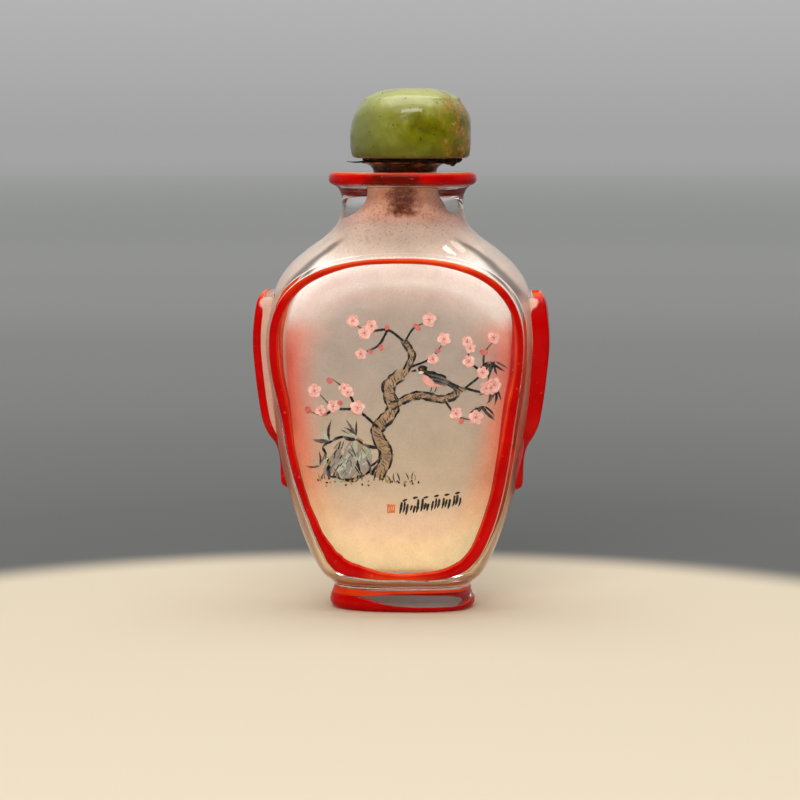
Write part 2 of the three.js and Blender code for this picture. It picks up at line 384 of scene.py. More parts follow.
def makeRedGlass():
    # Where its depth attribute is 0 the red lies thick and dark; towards 1 it is thin and orange.
    material, tree, place = newMaterial("redGlass")
    marks = handling(tree, place, redLook["marks"])
    depth = attribute(tree, "depth")
    streaks = noise(tree, place, *redLook["streaks"])
    deep, thin = (ramp(tree, streaks, redLook[name]) for name in ("deep", "thin"))
    colour = mixColour(tree, mapRange(tree, depth, 0.0, 1.0, smoothly=False), deep, thin)
    blots = arithmetic(tree, "SUBTRACT", noise(tree, place, *redLook["blots"]), depth)
    colour = mixColour(tree, mapRange(tree, blots, *redLook["blotSpan"]), colour, redLook["blotTint"])
    specks = times(tree, marks["Specks"], redLook["speckShare"])
    colour = mixColour(tree, specks, colour, redLook["speckTint"])
    rubbed = arithmetic(tree, "ADD", attribute(tree, "rubbed"),
                        times(tree, noise(tree, place, *redLook["rubbing"]), redLook["rubbingWeight"]))
    rubbed = mapRange(tree, rubbed, *redLook["rubbedSpan"], 0.0, redLook["rubbedShare"])
    colour = mixColour(tree, rubbed, colour, redLook["rubbedTint"])
    # The thin layer lets some light of its own colour through to the wall behind it.
    principled(tree, {"Base Color": colour, **gloss(redLook, marks),
                      "Normal": bump(tree, streaks, redLook["bumpStrength"], redLook["bumpDepth"])},
               ("Is Shadow Ray",), redLook["openTint"])
    return material


jadeLook = {
    "refraction": 1.6, "specular": 0.08, "coat": 0.4, "coatRoughness": 0.05,
    "marks": {"Smudge Scale": 160.0, "Roughness": 0.16, "Smudge Roughness": 0.3},
    "clouds": (190.0, 6.0, 0.65),
    "olive": [(0.3, (0.068, 0.064, 0.0)), (0.5, (0.142, 0.136, 0.002)), (0.72, (0.23, 0.24, 0.045))],
    # how the colour turns paler to the left, darker low down and paler at the crown: axis, start, full,
    # share, tint
    "zones": [("X", 0.0035, -0.0085, 0.85, (0.165, 0.185, 0.05)),
              ("Z", 0.0805, 0.0765, 0.55, (0.085, 0.08, 0.0)),
              ("Z", 0.0828, 0.0868, 1.0, (0.28, 0.29, 0.10))],
    "patch": (420.0, 6.0, 0.65), "patchSpan": (0.4, 0.58), "patchPlaces": (0.0056, 0.0095),
    "rust": (800.0, 5.0, 0.75),
    "rustTints": [(0.36, (0.13, 0.055, 0.0)), (0.55, (0.26, 0.13, 0.01)), (0.7, (0.55, 0.38, 0.10))],
    "dots": (1500.0, 3.0, 0.6), "dotsSpan": (0.63, 0.72), "dotTint": (0.035, 0.035, 0.008),
    "unevenness": (130.0, 2.0, 0.5), "unevenStrength": 0.55, "unevenDepth": 0.004,
}


def makeJade():
    material, tree, place = newMaterial("mottledJade")
    axes = axesOf(tree, place)
    marks = handling(tree, place, jadeLook["marks"])
    colour = ramp(tree, noise(tree, place, *jadeLook["clouds"]), jadeLook["olive"])
    for axis, start, full, share, tint in jadeLook["zones"]:
        colour = mixColour(tree, mapRange(tree, axes[axis], start, full, 0.0, share), colour, tint)
    # A russet patch at the right, ragged where its own noise falls off.
    patch = times(tree, mapRange(tree, axes["X"], *jadeLook["patchPlaces"]),
                  mask(tree, place, jadeLook, "patch"))
    rust = ramp(tree, noise(tree, place, *jadeLook["rust"]), jadeLook["rustTints"])
    colour = mixColour(tree, patch, colour, rust)
    colour = mixColour(tree, mask(tree, place, jadeLook, "dots"), colour, jadeLook["dotTint"])
    unevenness = noise(tree, place, *jadeLook["unevenness"])
    principled(tree, {"Base Color": colour, **gloss(jadeLook, marks),
                      "Normal": bump(tree, unevenness, jadeLook["unevenStrength"],
                                     jadeLook["unevenDepth"])})
    return material


hornLook = {
    "refraction": 1.54, "specular": 0.12, "coat": 0.04, "coatRoughness": 0.15,
    "marks": {"Smudge Scale": 200.0, "Roughness": 0.2, "Smudge Roughness": 0.35},
    "streaks": (500.0, 5.0, 0.6),
    "tints": [(0.3, (0.006, 0.0, 0.0)), (0.55, (0.024, 0.0, 0.0)), (0.75, (0.10, 0.01, 0.0))],
    "amber": (0.42, 0.12, 0.01), "amberHeights": (0.0744, 0.0751), "amberSpan": (0.4, 0.62),
}


def makeHorn():
    material, tree, place = newMaterial("darkHorn")
    marks = handling(tree, place, hornLook["marks"])
    streaks = noise(tree, place, *hornLook["streaks"])
    # Amber shows in the streaks towards the collar's thin rim.
    amber = times(tree, mapRange(tree, axesOf(tree, place)["Z"], *hornLook["amberHeights"]),
                  mapRange(tree, streaks, *hornLook["amberSpan"]))
    colour = mixColour(tree, amber, ramp(tree, streaks, hornLook["tints"]), hornLook["amber"])
    principled(tree, {"Base Color": colour, **gloss(hornLook, marks)})
    return material


glueLook = {
    "specular": 0.1, "lumps": (1100.0, 4.0, 0.6), "lumpStrength": 0.6, "lumpDepth": 0.0004,
    "tints": [(0.35, (0.003, 0.002, 0.002)), (0.58, (0.010, 0.005, 0.003)), (0.72, (0.16, 0.055, 0.008))],
    "roughnesses": [(0.3, grey(0.3)), (0.7, grey(0.6))],
}


def makeBlackGlue():
    material, tree, place = newMaterial("blackGlue")
    lumps = noise(tree, place, *glueLook["lumps"])
    principled(tree, {"Base Color": ramp(tree, lumps, glueLook["tints"]),
                      "Roughness": ramp(tree, lumps, glueLook["roughnesses"]),
                      "Specular IOR Level": glueLook["specular"],
                      "Normal": bump(tree, lumps, glueLook["lumpStrength"], glueLook["lumpDepth"])})
    return material


corkLook = {
    "roughness": 0.9, "grain": (700.0, 6.0, 0.7), "grainStrength": 0.7, "grainDepth": 0.0003,
    "tints": [(0.3, (0.05, 0.012, 0.004)), (0.5, (0.2, 0.07, 0.025)), (0.7, (0.42, 0.2, 0.1))],
    "cellScale": 900.0, "cellSpan": (0.1, 0.5), "cellTint": (0.06, 0.02, 0.008),
}


def makeAgedCork():
    material, tree, place = newMaterial("agedCork")
    cells = addNode(tree, "TexVoronoi", {"Vector": place, "Scale": corkLook["cellScale"]})
    grain = noise(tree, place, *corkLook["grain"])
    inCell = mapRange(tree, cells.outputs["Distance"], *corkLook["cellSpan"])
    colour = mixColour(tree, inCell, corkLook["cellTint"], ramp(tree, grain, corkLook["tints"]))
    principled(tree, {"Base Color": colour, "Roughness": corkLook["roughness"],
                      "Normal": bump(tree, grain, corkLook["grainStrength"], corkLook["grainDepth"])})
    return material


paintLook = {"roughness": 0.8, "dryness": (2200.0, 4.0, 0.7), "drySpan": (0.4, 0.75), "dryShare": 0.12,
             "dryTint": (0.4, 0.3, 0.24)}


def makePigment():
    material, tree, place = newMaterial("innerPaint")
    dry = mapRange(tree, noise(tree, place, *paintLook["dryness"]), *paintLook["drySpan"],
                   0.0, paintLook["dryShare"])
    colour = mixColour(tree, dry, attribute(tree, "pigment", "Color"), paintLook["dryTint"])
    principled(tree, {"Base Color": colour, "Roughness": paintLook["roughness"], "Specular IOR Level": 0.0})
    return material


clearGlass, frostedGlass, redGlass = makeClearGlass(), makeFrostedGlass(), makeRedGlass()
jade, horn, blackGlue, agedCork = makeJade(), makeHorn(), makeBlackGlue(), makeAgedCork()
pigment = makePigment()
print("materials made")

# The glass.

# Half-width, half-depth, height and squareness of each level, in millimetres.
glass = {
    "columns": 176,
    "pitch": 0.42,
    "outside": [
        [11.3, 6.5, 0.03, 2.5], [12.05, 7.0, 0.5, 2.5], [12.3, 7.2, 1.5, 2.5], [11.5, 6.7, 3.8, 2.5],
        [12.1, 7.5, 4.7, 2.6], [13.5, 9.2, 6.0, 2.8], [15.2, 10.3, 9.0, 3.1], [17.0, 10.9, 13.4, 3.4],
        [19.0, 11.1, 19.6, 3.8], [20.9, 11.2, 28.5, 4.0], [22.1, 11.2, 39.0, 4.0],
        [22.2, 11.1, 48.5, 4.0], [21.2, 10.7, 54.4, 3.6], [19.0, 10.2, 58.0, 3.1],
        [15.8, 9.7, 60.9, 2.6], [12.9, 9.2, 63.0, 2.3], [10.9, 8.7, 65.2, 2.1], [10.2, 8.5, 67.6, 2.1],
        [10.35, 8.7, 70.0, 2.1], [11.1, 9.5, 71.2, 2.1], [12.1, 10.5, 71.8, 2.1], [12.3, 10.7, 72.5, 2.1],
        [12.2, 10.6, 73.15, 2.1], [11.7, 10.1, 73.62, 2.1],
    ],
    "hollow": [
        [5.1, 5.1, 74.0, 2.0], [4.95, 4.95, 73.7, 2.0], [4.8, 4.8, 73.4, 2.0], [4.8, 4.8, 69.6, 2.0],
        [5.2, 5.0, 68.2, 2.0], [6.0, 5.2, 66.8, 2.0], [7.5, 5.6, 65.2, 2.1], [9.6, 6.2, 63.0, 2.2],
        [12.2, 6.9, 60.8, 2.4], [15.2, 7.6, 57.6, 2.8], [17.9, 8.0, 53.4, 3.1], [19.6, 8.2, 47.5, 3.3],
        [19.5, 8.2, 39.0, 3.3], [18.4, 8.2, 29.0, 3.3], [16.3, 8.1, 20.0, 3.2], [14.4, 8.0, 14.0, 3.2],
        [13.4, 7.95, 10.6, 3.0], [12.9, 7.85, 9.0, 2.9], [12.5, 7.65, 8.0, 2.8], [11.8, 7.1, 7.3, 2.6],
        [9.8, 5.6, 7.05, 2.5], [6.5, 3.6, 6.95, 2.4],
    ],
    # the dish under the foot: how far in from the foot's edge, and how high
    "dish": [(1.9, -0.3), (2.2, 0.0), (2.45, 0.44), (3.1, 0.72), (3.9, 0.8)],
}

# The raised panel's outline: an oval that widens upwards, squarer below than above.
panel = {"halfWidth": 19.1, "halfHeight": 26.6, "middle": 33.1, "widening": 0.287, "shoulders": 0.258,
         "topSquareness": 2.3, "bottomSquareness": 2.6, "face": 12.0, "root": 7.6, "flare": 0.8,
         "leanDeg": 1.3,
         # how far the hand-cut outline leaves that oval: degrees round from the right, outwards
         "swell": [(-90, 0), (-78, 0.35), (-66, 0.9), (-58, 1.2), (-50, 1.0), (-43, 0.65), (-32, 0.45),
                   (-10, 0.4), (8, 0.15), (20, 0), (165, 0), (172, -0.1), (182, -0.05), (192, 0.15),
                   (200, 0.1), (207, -0.2), (216, -0.35), (224, -0.1), (229, 0.25), (233, 0.8),
                   (238, 1.1), (243, 0.9), (247, 0.5), (254, 0.2), (270, 0)]}


def panelOutline(grow, count=240):
    # The outline's points in X and Z, moved out along its own normals by grow (a number or an array).
    def at(angle):
        c, s = np.cos(angle), np.sin(angle)
        power = np.where(s > 0, panel["topSquareness"], panel["bottomSquareness"])
        reach = (np.abs(c) ** power + np.abs(s) ** power) ** (-1 / power)
        rise = s * reach
        width = panel["halfWidth"] * (1 + panel["widening"] * rise + panel["shoulders"] * rise ** 2)
        return np.stack([width * c * reach, panel["middle"] + panel["halfHeight"] * rise], -1)
    angle = np.linspace(0, 2 * np.pi, count, endpoint=False)
    along = at(angle + 1e-3) - at(angle - 1e-3)
    along /= np.linalg.norm(along, axis=1)[:, None]
    outward = np.stack([along[:, 1], -along[:, 0]], -1)
    swell = np.interp((np.degrees(angle) + 90) % 360 - 90, *np.array(panel["swell"]).T)
    outline = at(angle) + outward * (grow + swell)[:, None]
    lean, middle = math.radians(panel["leanDeg"]), np.array([0.0, panel["middle"]])
    x, z = (outline - middle).T
    return middle + np.stack([x * math.cos(lean) - z * math.sin(lean),
                              x * math.sin(lean) + z * math.cos(lean)], -1)


def panelReach(x, z):
    # 0 in the middle of the panel, 1 on its outline: the same superellipse read backwards.
    rise = (z - panel["middle"]) / panel["halfHeight"]
    width = panel["halfWidth"] * (1 + panel["widening"] * rise + panel["shoulders"] * rise ** 2)
    power = np.where(rise > 0, panel["topSquareness"], panel["bottomSquareness"])
    return (np.abs(rise) ** power + np.abs(x / width) ** power) ** (1 / power)


def atDepth(outline, y):
    return np.stack([outline[:, 0], np.full(len(outline), -y), outline[:, 1]], -1)


def raisedPanel():
    # A stack of outlines from inside the body out to the face: how far out each lies, and its depth.
    face, flare = panel["face"], panel["flare"]
    steps = [(flare, panel["root"]), (flare, face - 2.2), (flare - 0.12, face - 2.05), (0.2, face - 1.95),
             (0.1, face - 1.85), (-0.05, face - 0.6), (-0.12, face - 0.5), (-0.16, face - 0.05),
             (-0.22, face), (-1.5, face), (-4.0, face)]
    return skin(np.stack([atDepth(panelOutline(grow), y) for grow, y in steps]))


# The lappet carved on each narrow side: distance out, half-width, height.
lappet = {
    "levels": [[19.3, 2.1, 20.2], [20.3, 3.0, 21.0], [20.45, 3.4, 22.6], [20.5, 3.5, 24.4],
               [20.65, 3.5, 26.0], [21.15, 3.6, 27.8], [22.3, 5.0, 29.8], [23.15, 5.3, 31.8],
               [23.65, 5.4, 34.2], [24.35, 5.5, 39.5], [24.8, 5.5, 45.0], [24.6, 5.4, 49.0],
               [24.05, 4.7, 52.4], [23.3, 3.4, 53.7]],
    "leftLayer": 1.4,
    "rightLayer": 2.75,
    "corner": 0.45,
    "thinning": (50.3, 53.0),  # the heights over which the red layer thins towards the top
    "topShare": 0.55,  # and the share of its thickness that is left there
    "thin": (52.6, 53.8, 0.8),  # where its colour turns thin: from, to, and how thin
    # the clear glass under the red: from how deep, to how far below the surface, and how much narrower
    "root": 4.0, "glassBelow": 0.3, "glassNarrower": 0.05,
}


def lappetRings(inner, outer, widen, topShare=1.0):
    # Each level is a rectangle with rounded outer corners, from inner to outer below the carved surface;
    # the inner depth falls to topShare of itself towards the top.
    rows = curveThrough(lappet["levels"], 0.5)
    out, half, z = rows[:, 0:1] - outer, rows[:, 1:2] + widen, rows[:, 2:3]
    corner = lappet["corner"]
    turn = np.linspace(0, np.pi / 2, 5)[None, :]
    low = rows[:, 0:1] - inner * np.interp(z, lappet["thinning"], (1.0, topShare))
    x = np.hstack([low, out - corner + corner * np.sin(turn), out - corner + corner * np.cos(turn), low])
    y = np.hstack([-half, -half + corner - corner * np.cos(turn), half - corner + corner * np.sin(turn),
                   half])
    return np.stack([x, y, z + 0 * x], -1)


def flipped(part, x=1, y=1):
    points, faces = part
    return points * np.array([x, y, 1.0]), [f[::-1] for f in faces] if x * y < 0 else faces


def makeGlass():
    columns = glass["columns"]
    outer = curveThrough(glass["outside"], glass["pitch"])
    body = makePiece("glass_body", [skin(ovalRings(outer, columns))], clearGlass)
    front = raisedPanel()
    shell = skin(lappetRings(lappet["root"], lappet["glassBelow"], -lappet["glassNarrower"]))
    for part in (front, flipped(front, y=-1), shell, flipped(shell, x=-1)):
        combine(body, makePiece("joining", [part], None), "UNION")
    hollow = curveThrough(glass["hollow"], glass["pitch"])
    combine(body, makePiece("cutting", [skin(ovalRings(hollow, columns)[::-1])], None), "DIFFERENCE")
    width, depth, _, square = glass["outside"][0]
    rows = np.array([[width - inset, depth - inset, z, square] for inset, z in glass["dish"]])
    combine(body, makePiece("cutting", [skin(ovalRings(rows, columns))], None), "DIFFERENCE")
    dressGlass(body, hollow)
    return body


def levelsAt(rows, z):
    # Half-width, half-depth and squareness of a form at each height z.
    order = np.argsort(rows[:, 2])
    return [np.interp(z, rows[order, 2], rows[order, i]) for i in (0, 1, 3)]


# Colour of the ground wall, by height up the middle and round the panel's edge (linear): the pale
# ground glass with painted light and shade laid in it. The peach low down, the red round the edge beside
# the red rim and the white under the top of the rim are painted glow.
frost = {
    "middle": [(8, (1.0, 0.70, 0.38)), (11, (1.0, 0.63, 0.34)), (14, (0.90, 0.62, 0.41)),
               (21, (0.62, 0.48, 0.33)), (30, (0.53, 0.43, 0.32)), (42, (0.46, 0.38, 0.32)),
               (50, (0.46, 0.37, 0.31)), (54, (0.55, 0.40, 0.33)), (58, (0.66, 0.46, 0.35)),
               (60, (0.62, 0.47, 0.37)), (62.5, (0.58, 0.42, 0.33)), (65, (0.62, 0.44, 0.34)),
               (67, (0.80, 0.45, 0.31)), (72, (0.78, 0.38, 0.22))],
    "edge": [(8, (1.0, 0.84, 0.48)), (13, (1.0, 0.84, 0.48)), (17, (1.0, 0.62, 0.32)),
             (22, (0.96, 0.34, 0.16)), (32, (0.97, 0.18, 0.08)), (43, (0.97, 0.15, 0.08)),
             (47, (1.0, 0.36, 0.25)),
             (50, (1.0, 0.92, 0.84)), (58, (1.0, 0.98, 0.93)), (60, (0.75, 0.60, 0.50)),
             (62, (0.58, 0.45, 0.36)), (65, (0.62, 0.44, 0.35)), (67, (0.80, 0.45, 0.31)),
             (72, (0.78, 0.38, 0.22))],
    "side": [(8, (0.62, 0.34, 0.18)), (13, (0.52, 0.27, 0.13)), (20, (0.52, 0.27, 0.145)),
             (28, (0.74, 0.34, 0.20)), (36, (0.90, 0.74, 0.54)), (46, (0.90, 0.78, 0.60)),
             (50, (0.72, 0.50, 0.40)), (53, (0.72, 0.58, 0.50)), (60, (0.66, 0.56, 0.48)),
             (64, (0.60, 0.48, 0.40))],
    "edgeStart": 0.64,
    # where the side's painted light and shade come in, as the wall turns away from the panel: by share of
    # the hollow's half-depth, and by height at its top
    "sideAway": (0.55, 0.43), "sideTop": (64, 62.5),
    # a painted dark streak down each shoulder, standing in for a dark refraction in the curved glass: its
    # place and width as shares of the hollow's half-depth
    "band": (0.20, 0.17, 0.15), "bandHeights": (52, 61.5), "bandAway": (0.28, 0.66),
    "bandSpread": (0.16, 0.05), "bandStart": (51, 53), "bandEnd": (62.3, 60.8),
    # a painted red glow on the wall right beside the panel's rim, from light through the red: where it
    # starts at the left and the right
    "deep": (0.52, 0.014, 0.003), "deepStart": (0.915, 0.875), "deepSoftness": 0.06,
    "deepHeights": (30, 37, 44, 50),
    # a painted pinkish glow on the wall out beside the lappets, from light through their red; the dish's
    # grey
    "paintedLappetGlow": (0.58, 0.37, 0.27), "lappetFrom": 20.2, "dish": (0.30, 0.28, 0.29),
    # the cork's stain: its middle and half-width across, and the heights where it comes in
    "stainX": 0.3, "stainWidth": 3.6, "stainHeights": (65, 67),
}


def wallColourWithPaintedLightAt(x, y, z, hollow):
    # The middle's colour gives way to the edge's as the panel's reach goes from edgeStart to 1, and
    # to the side's where the wall turns away from the panel. Later colours are laid over earlier ones: the
    # painted red glow by the rim, the side's painted light and shade, the painted dark streak on each
    # shoulder and the painted pinkish glow beside the lappets.
    def along(table):
        heights = [row[0] for row in table]
        return np.stack([np.interp(z, heights, [row[1][i] for row in table]) for i in range(3)], -1)

    def laid(under, over, amount):
        return under * (1 - amount[:, None]) + np.asarray(over) * amount[:, None]

    reach = panelReach(x, z)
    tint = laid(along(frost["middle"]), along(frost["edge"]), eased(fadeIn(reach, frost["edgeStart"], 1)))
    start = np.where(x < 0, *frost["deepStart"])
    deep = eased(fadeIn(reach, start, start + frost["deepSoftness"]))
    tint = laid(tint, frost["deep"], deep * np.interp(z, frost["deepHeights"], (0, 1, 1, 0)))
    away = np.abs(y) / levelsAt(hollow, z)[1]
    tint = laid(tint, along(frost["side"]), fadeIn(away, *frost["sideAway"]) * fadeIn(z, *frost["sideTop"]))
    place, spread = (np.interp(z, frost["bandHeights"], frost[name]) for name in ("bandAway", "bandSpread"))
    band = np.exp(-((away - place) / spread) ** 4)
    tint = laid(tint, frost["band"], band * fadeIn(z, *frost["bandStart"]) * fadeIn(z, *frost["bandEnd"]))
    return np.where((np.abs(x) > frost["lappetFrom"])[:, None], frost["paintedLappetGlow"], tint)


def vertexPlaces(mesh):
    points = np.empty(len(mesh.vertices) * 3, np.float32)
    mesh.vertices.foreach_get("co", points)
    return points.reshape(-1, 3).astype(float) / millimetre


def setColour(mesh, name, colours):
    layer = mesh.attributes.new(name, "FLOAT_COLOR", "POINT")
    values = np.hstack([colours, np.ones((len(colours), 1))])
    layer.data.foreach_set("color", values.ravel().astype(np.float32))


def setValue(mesh, name, values):
    layer = mesh.attributes.new(name, "FLOAT", "POINT")
    layer.data.foreach_set("value", np.asarray(values, np.float32))


# What is ground and not polished: the wall of the hollow, the dish under the foot, and the side walls of
# the lappets, where a face turns towards the front or the back.
ground = {
    "wallHeights": (6.8, 73.2), "wallReach": 1.06,
    "dishHeights": (0.3, 0.85), "dishHalves": (9.3, 4.8),
    "lappetFrom": 20.4, "lappetHalfWidth": 5.7, "lappetHeights": (20, 54), "lappetFacing": 0.7,
}


def isBetween(value, limits):
    return (value > limits[0]) & (value < limits[1])


def dressGlass(body, hollow):
    mesh = body.data
    mesh.materials.clear()
    mesh.materials.append(clearGlass)
    mesh.materials.append(frostedGlass)
    count = len(mesh.polygons)
    centres, normals = np.empty(count * 3, np.float32), np.empty(count * 3, np.float32)
    mesh.polygons.foreach_get("center", centres)
    mesh.polygons.foreach_get("normal", normals)
    x, y, z = (centres.reshape(-1, 3).astype(float) / millimetre).T
    facing = np.abs(normals.reshape(-1, 3)[:, 1])
    a, b, n = levelsAt(hollow, z)
    within = (np.abs(x) / a) ** n + (np.abs(y) / b) ** n < ground["wallReach"]
    dishX, dishY = ground["dishHalves"]
    wall = within & isBetween(z, ground["wallHeights"])
    dish = isBetween(z, ground["dishHeights"]) & (np.abs(x) < dishX) & (np.abs(y) < dishY)
    lappetSide = ((facing > ground["lappetFacing"]) & (np.abs(x) > ground["lappetFrom"])
                  & (np.abs(y) < ground["lappetHalfWidth"]) & isBetween(z, ground["lappetHeights"]))
    mesh.polygons.foreach_set("material_index", (wall | dish | lappetSide).astype(np.int32))
    x, y, z = vertexPlaces(mesh).T
    # The wall's colour, its painted light and shade included, goes on every point.
    tint = wallColourWithPaintedLightAt(x, y, z, hollow)
    tint[z < 1] = frost["dish"]
    setColour(mesh, "tint", tint)
    setValue(mesh, "stain", np.exp(-((x - frost["stainX"]) / frost["stainWidth"]) ** 2)
             * fadeIn(z, *frost["stainHeights"]))
    smooth(mesh, 30)


glassBody = finishPiece(makeGlass(), "glass_bottle")
print("glass made:", len(glassBody.data.polygons), "faces")

# The red layer.

red = {
    # Width of the rim round the panel, by angle in degrees from the right, anticlockwise.
    "rimWidths": [(-60, 1.7), (-48, 1.9), (-31, 1.7), (-9, 1.6), (4, 1.3), (15, 1.05), (40, 1.15),
                  (58, 1.15), (75, 0.9), (90, 0.75), (105, 0.9), (122, 1.2), (140, 1.6), (160, 1.4),
                  (180, 1.35), (195, 1.25), (210, 1.05), (222, 1.35), (229, 1.9), (236, 2.5), (244, 2.2),
                  (258, 1.25), (270, 0.85), (283, 1.15), (300, 1.7)],
    # How far the red spreads inwards below the panel's face, by the same angle.
    "rimSpread": [(-60, 0.2), (-30, 0.3), (-12, 0.5), (0, 0.8), (10, 1.0), (24, 1.0), (32, 0.6), (40, 0.0),
                  (140, 0.0), (153, 0.4), (163, 0.65), (173, 0.5), (180, 0.2), (188, 0.0), (300, 0.2)],
    "rimWaves": [(9, 0.05, 0.6), (17, 0.03, 0.0)],  # the cutter's hand: count round, depth, start
    "rimRise": 0.5,
    "rimRoot": 0.62,  # how far the red goes down below the panel's face
    "rimCount": 360,  # points round the rim
    # How thin the red is at each corner of the rim's section, on the sides and on the runs across.
    "rimSides": [0.8, 0.4, 0.1, 0.05, 0.0, 0.0, 0.35, 0.25, 0.7, 0.0, 0.1, 0.6, 0.8],
    "rimRuns": [0.9, 0.8, 0.6, 0.8, 0.6, 0.1, 0.5, 0.3, 0.7, 0.7, 0.7, 0.7, 0.8],
    # The lappets' front upper corners are rubbed pale: the left's and the right's place out, then the
    # place in depth and height, and how far the rubbing spreads along each axis.
    "rubbedOut": (22.8, 22.1), "rubbedY": -5.1, "rubbedZ": 52.2, "rubbedSpread": (1.2, 1.1, 1.5),
}


def panelRim():
    # A rounded bar carried round the panel's outline. Each corner of its section has a way out from the
    # outline, a depth, and its shares of the rim's width and of the spread below the face.
    angle = np.linspace(0, 2 * np.pi, red["rimCount"], endpoint=False)
    turnDeg = (np.degrees(angle) + 60) % 360 - 60
    spread = np.interp(turnDeg, *np.array(red["rimSpread"]).T)
    width = np.interp(turnDeg, *np.array(red["rimWidths"]).T) + waves(angle, red["rimWaves"])
    face, top = panel["face"], panel["face"] + red["rimRise"]
    section = [(0.0, face - red["rimRoot"], 0, 0), (0.02, face - 0.3, 0, 0), (0.02, top - 0.3, 0, 0),
               (-0.06, top - 0.09, 0, 0), (-0.25, top, 0, 0), (0.3, top, 1, 0), (0.08, top - 0.1, 1, 0),
               (0.0, top - 0.3, 1, 0), (0.0, face - 0.12, 1, 0), (-0.02, face - 0.2, 1, 0.5),
               (-0.04, face - 0.34, 1, 0.9), (0.0, face - 0.45, 1, 1),
               (0.1, face - red["rimRoot"], 1, 0.9)]
    rings = [atDepth(panelOutline(shift - width * inner - spread * under, red["rimCount"]), y)
             for shift, y, inner, under in section]
    return skin(np.stack(rings).transpose(1, 0, 2)[:, ::-1], torus=True)


def rimDepth():
    # How thin the red is, in the order of the rim's corners: the values for its sides give way to those
    # for its runs across at the top and the bottom, and its sides are thicker low down.
    angle = np.linspace(0, 2 * np.pi, red["rimCount"], endpoint=False)[:, None]
    up = np.sin(angle)
    upper = fadeIn(up, 0.72, 0.92) * (0.85 + 0.15 * np.sin(5 * angle + 1))
    lower = 0.75 * fadeIn(-up, 0.93, 0.98)
    runs = np.maximum(upper, lower)
    sides = np.array(red["rimSides"]) * (1 - 0.6 * fadeIn(-up, 0.15, 0.35))
    return (sides * (1 - runs) + np.array(red["rimRuns"]) * runs)[:, ::-1].ravel()


def thinTowards(z, start, full, most):
    # The red thins from one height to another, but never past the most given.
    return np.minimum(fadeIn(z, start, full), most)


def lappetDepth(points):
    return thinTowards(points[:, 2], *lappet["thin"])


def lappetRubbed(out):
    # Falls off from the rubbed corner as exp of minus the sum of its squared distances.
    corner = np.array([out, red["rubbedY"], red["rubbedZ"]])

    def rubbedAt(points):
        places = np.column_stack([np.abs(points[:, 0]), points[:, 1:]])
        return np.exp(-(((places - corner) / red["rubbedSpread"]) ** 2).sum(1))
    return rubbedAt


def ovalBand(levels, thickness, lowEdge, highEdge):
    # A band round an oval form: its outer face follows the levels between two edge heights that
    # may change round the oval, and its inner face lies at its thickness below.
    angle = np.linspace(0, 2 * np.pi, 240, endpoint=False)
    rows = curveThrough(levels, 0.2)
    steps = np.linspace(0, 1, 9)
    rings = []
    for t, inset in [(s, 0.0) for s in steps] + [(s, thickness) for s in steps[::-1]]:
        z = lowEdge(angle) * (1 - t) + highEdge(angle) * t
        a, b, n = levelsAt(rows, z)
        reach = (np.abs(np.cos(angle)) ** n + np.abs(np.sin(angle)) ** n) ** (-1 / n)
        rings.append(np.stack([(a - inset) * np.cos(angle) * reach, (b - inset) * np.sin(angle) * reach,
                               z], -1))
    return skin(np.stack(rings).transpose(1, 0, 2), torus=True)


lip = {
    "levels": [[11.3, 9.7, 71.45, 2.1], [12.05, 10.45, 71.72, 2.1], [12.36, 10.76, 72.1, 2.1],
               [12.4, 10.8, 72.6, 2.1], [12.28, 10.68, 73.2, 2.1], [11.8, 10.2, 73.63, 2.1]],
    "thickness": 0.9, "top": 73.63, "bottom": 71.73,
    "waves": [(3, 0.05, 1), (8, 0.03, 0)],  # along the lower edge: count round, depth, start
    "thin": (73.3, 73.6, 0.8),
    # a painted darker stretch at the front, shade where the dark cork behind lets less light through the
    # red: its middle and half-width across, its top and how strong it is
    "darkX": -0.8, "darkWidth": 5.8, "darkTop": 73.4, "dark": 0.75,
}


def lipBand():
    def bottom(angle):
        return lip["bottom"] + waves(angle, lip["waves"])
    return ovalBand(lip["levels"], lip["thickness"], bottom, lambda angle: np.full(len(angle), lip["top"]))


def lipDepth(points):
    # Thin along the upper edge, less the painted dark stretch of shade, which falls off as exp(-d^4).
    x, y, z = points.T
    dark = lip["dark"] * np.exp(-((x - lip["darkX"]) / lip["darkWidth"]) ** 4)
    return thinTowards(z, *lip["thin"]) - dark * (z < lip["darkTop"]) * (y < 0)


foot = {
    "levels": [[11.34, 6.54, 0.0, 2.5], [12.09, 7.04, 0.5, 2.5], [12.34, 7.25, 1.5, 2.5],
               [11.54, 6.74, 3.8, 2.5]],
    "lowThickness": 0.9, "highThickness": 0.6,
    # the clear window in the red, by distance across: where the red stops below and above it
    "across": [-12.3, -8.5, -6.9, -5.0, -2.8, -1.2, 2.0, 8.5, 10.5, 11.5, 12.3],
    "below": [2.6, 2.5, 2.35, 1.95, 1.4, 1.15, 0.95, 0.9, 1.1, 1.6, 1.9],
    "above": [2.6, 2.55, 2.6, 2.75, 2.95, 3.1, 3.25, 3.3, 3.3, 3.35, 3.4],
    "top": 3.66, "topWave": 0.07, "thin": (2.5, 3.0, 0.4),
}


def footBand():
    def edge(name):
        return lambda angle: np.interp(foot["across"][-1] * np.cos(angle), foot["across"], foot[name])

    def top(angle):
        return foot["top"] + foot["topWave"] * np.sin(4 * angle)

    return [ovalBand(foot["levels"], foot["lowThickness"], lambda angle: 0 * angle, edge("below")),
            ovalBand(foot["levels"], foot["highThickness"], edge("above"), top)]


def makeRed(name, parts, depthRule, rubbedRule=lambda points: np.zeros(len(points))):
    piece = makePiece(name, parts, redGlass, 34)
    points = vertexPlaces(piece.data)
    setValue(piece.data, "depth", depthRule(points))
    setValue(piece.data, "rubbed", rubbedRule(points))
    finishPiece(piece, None)


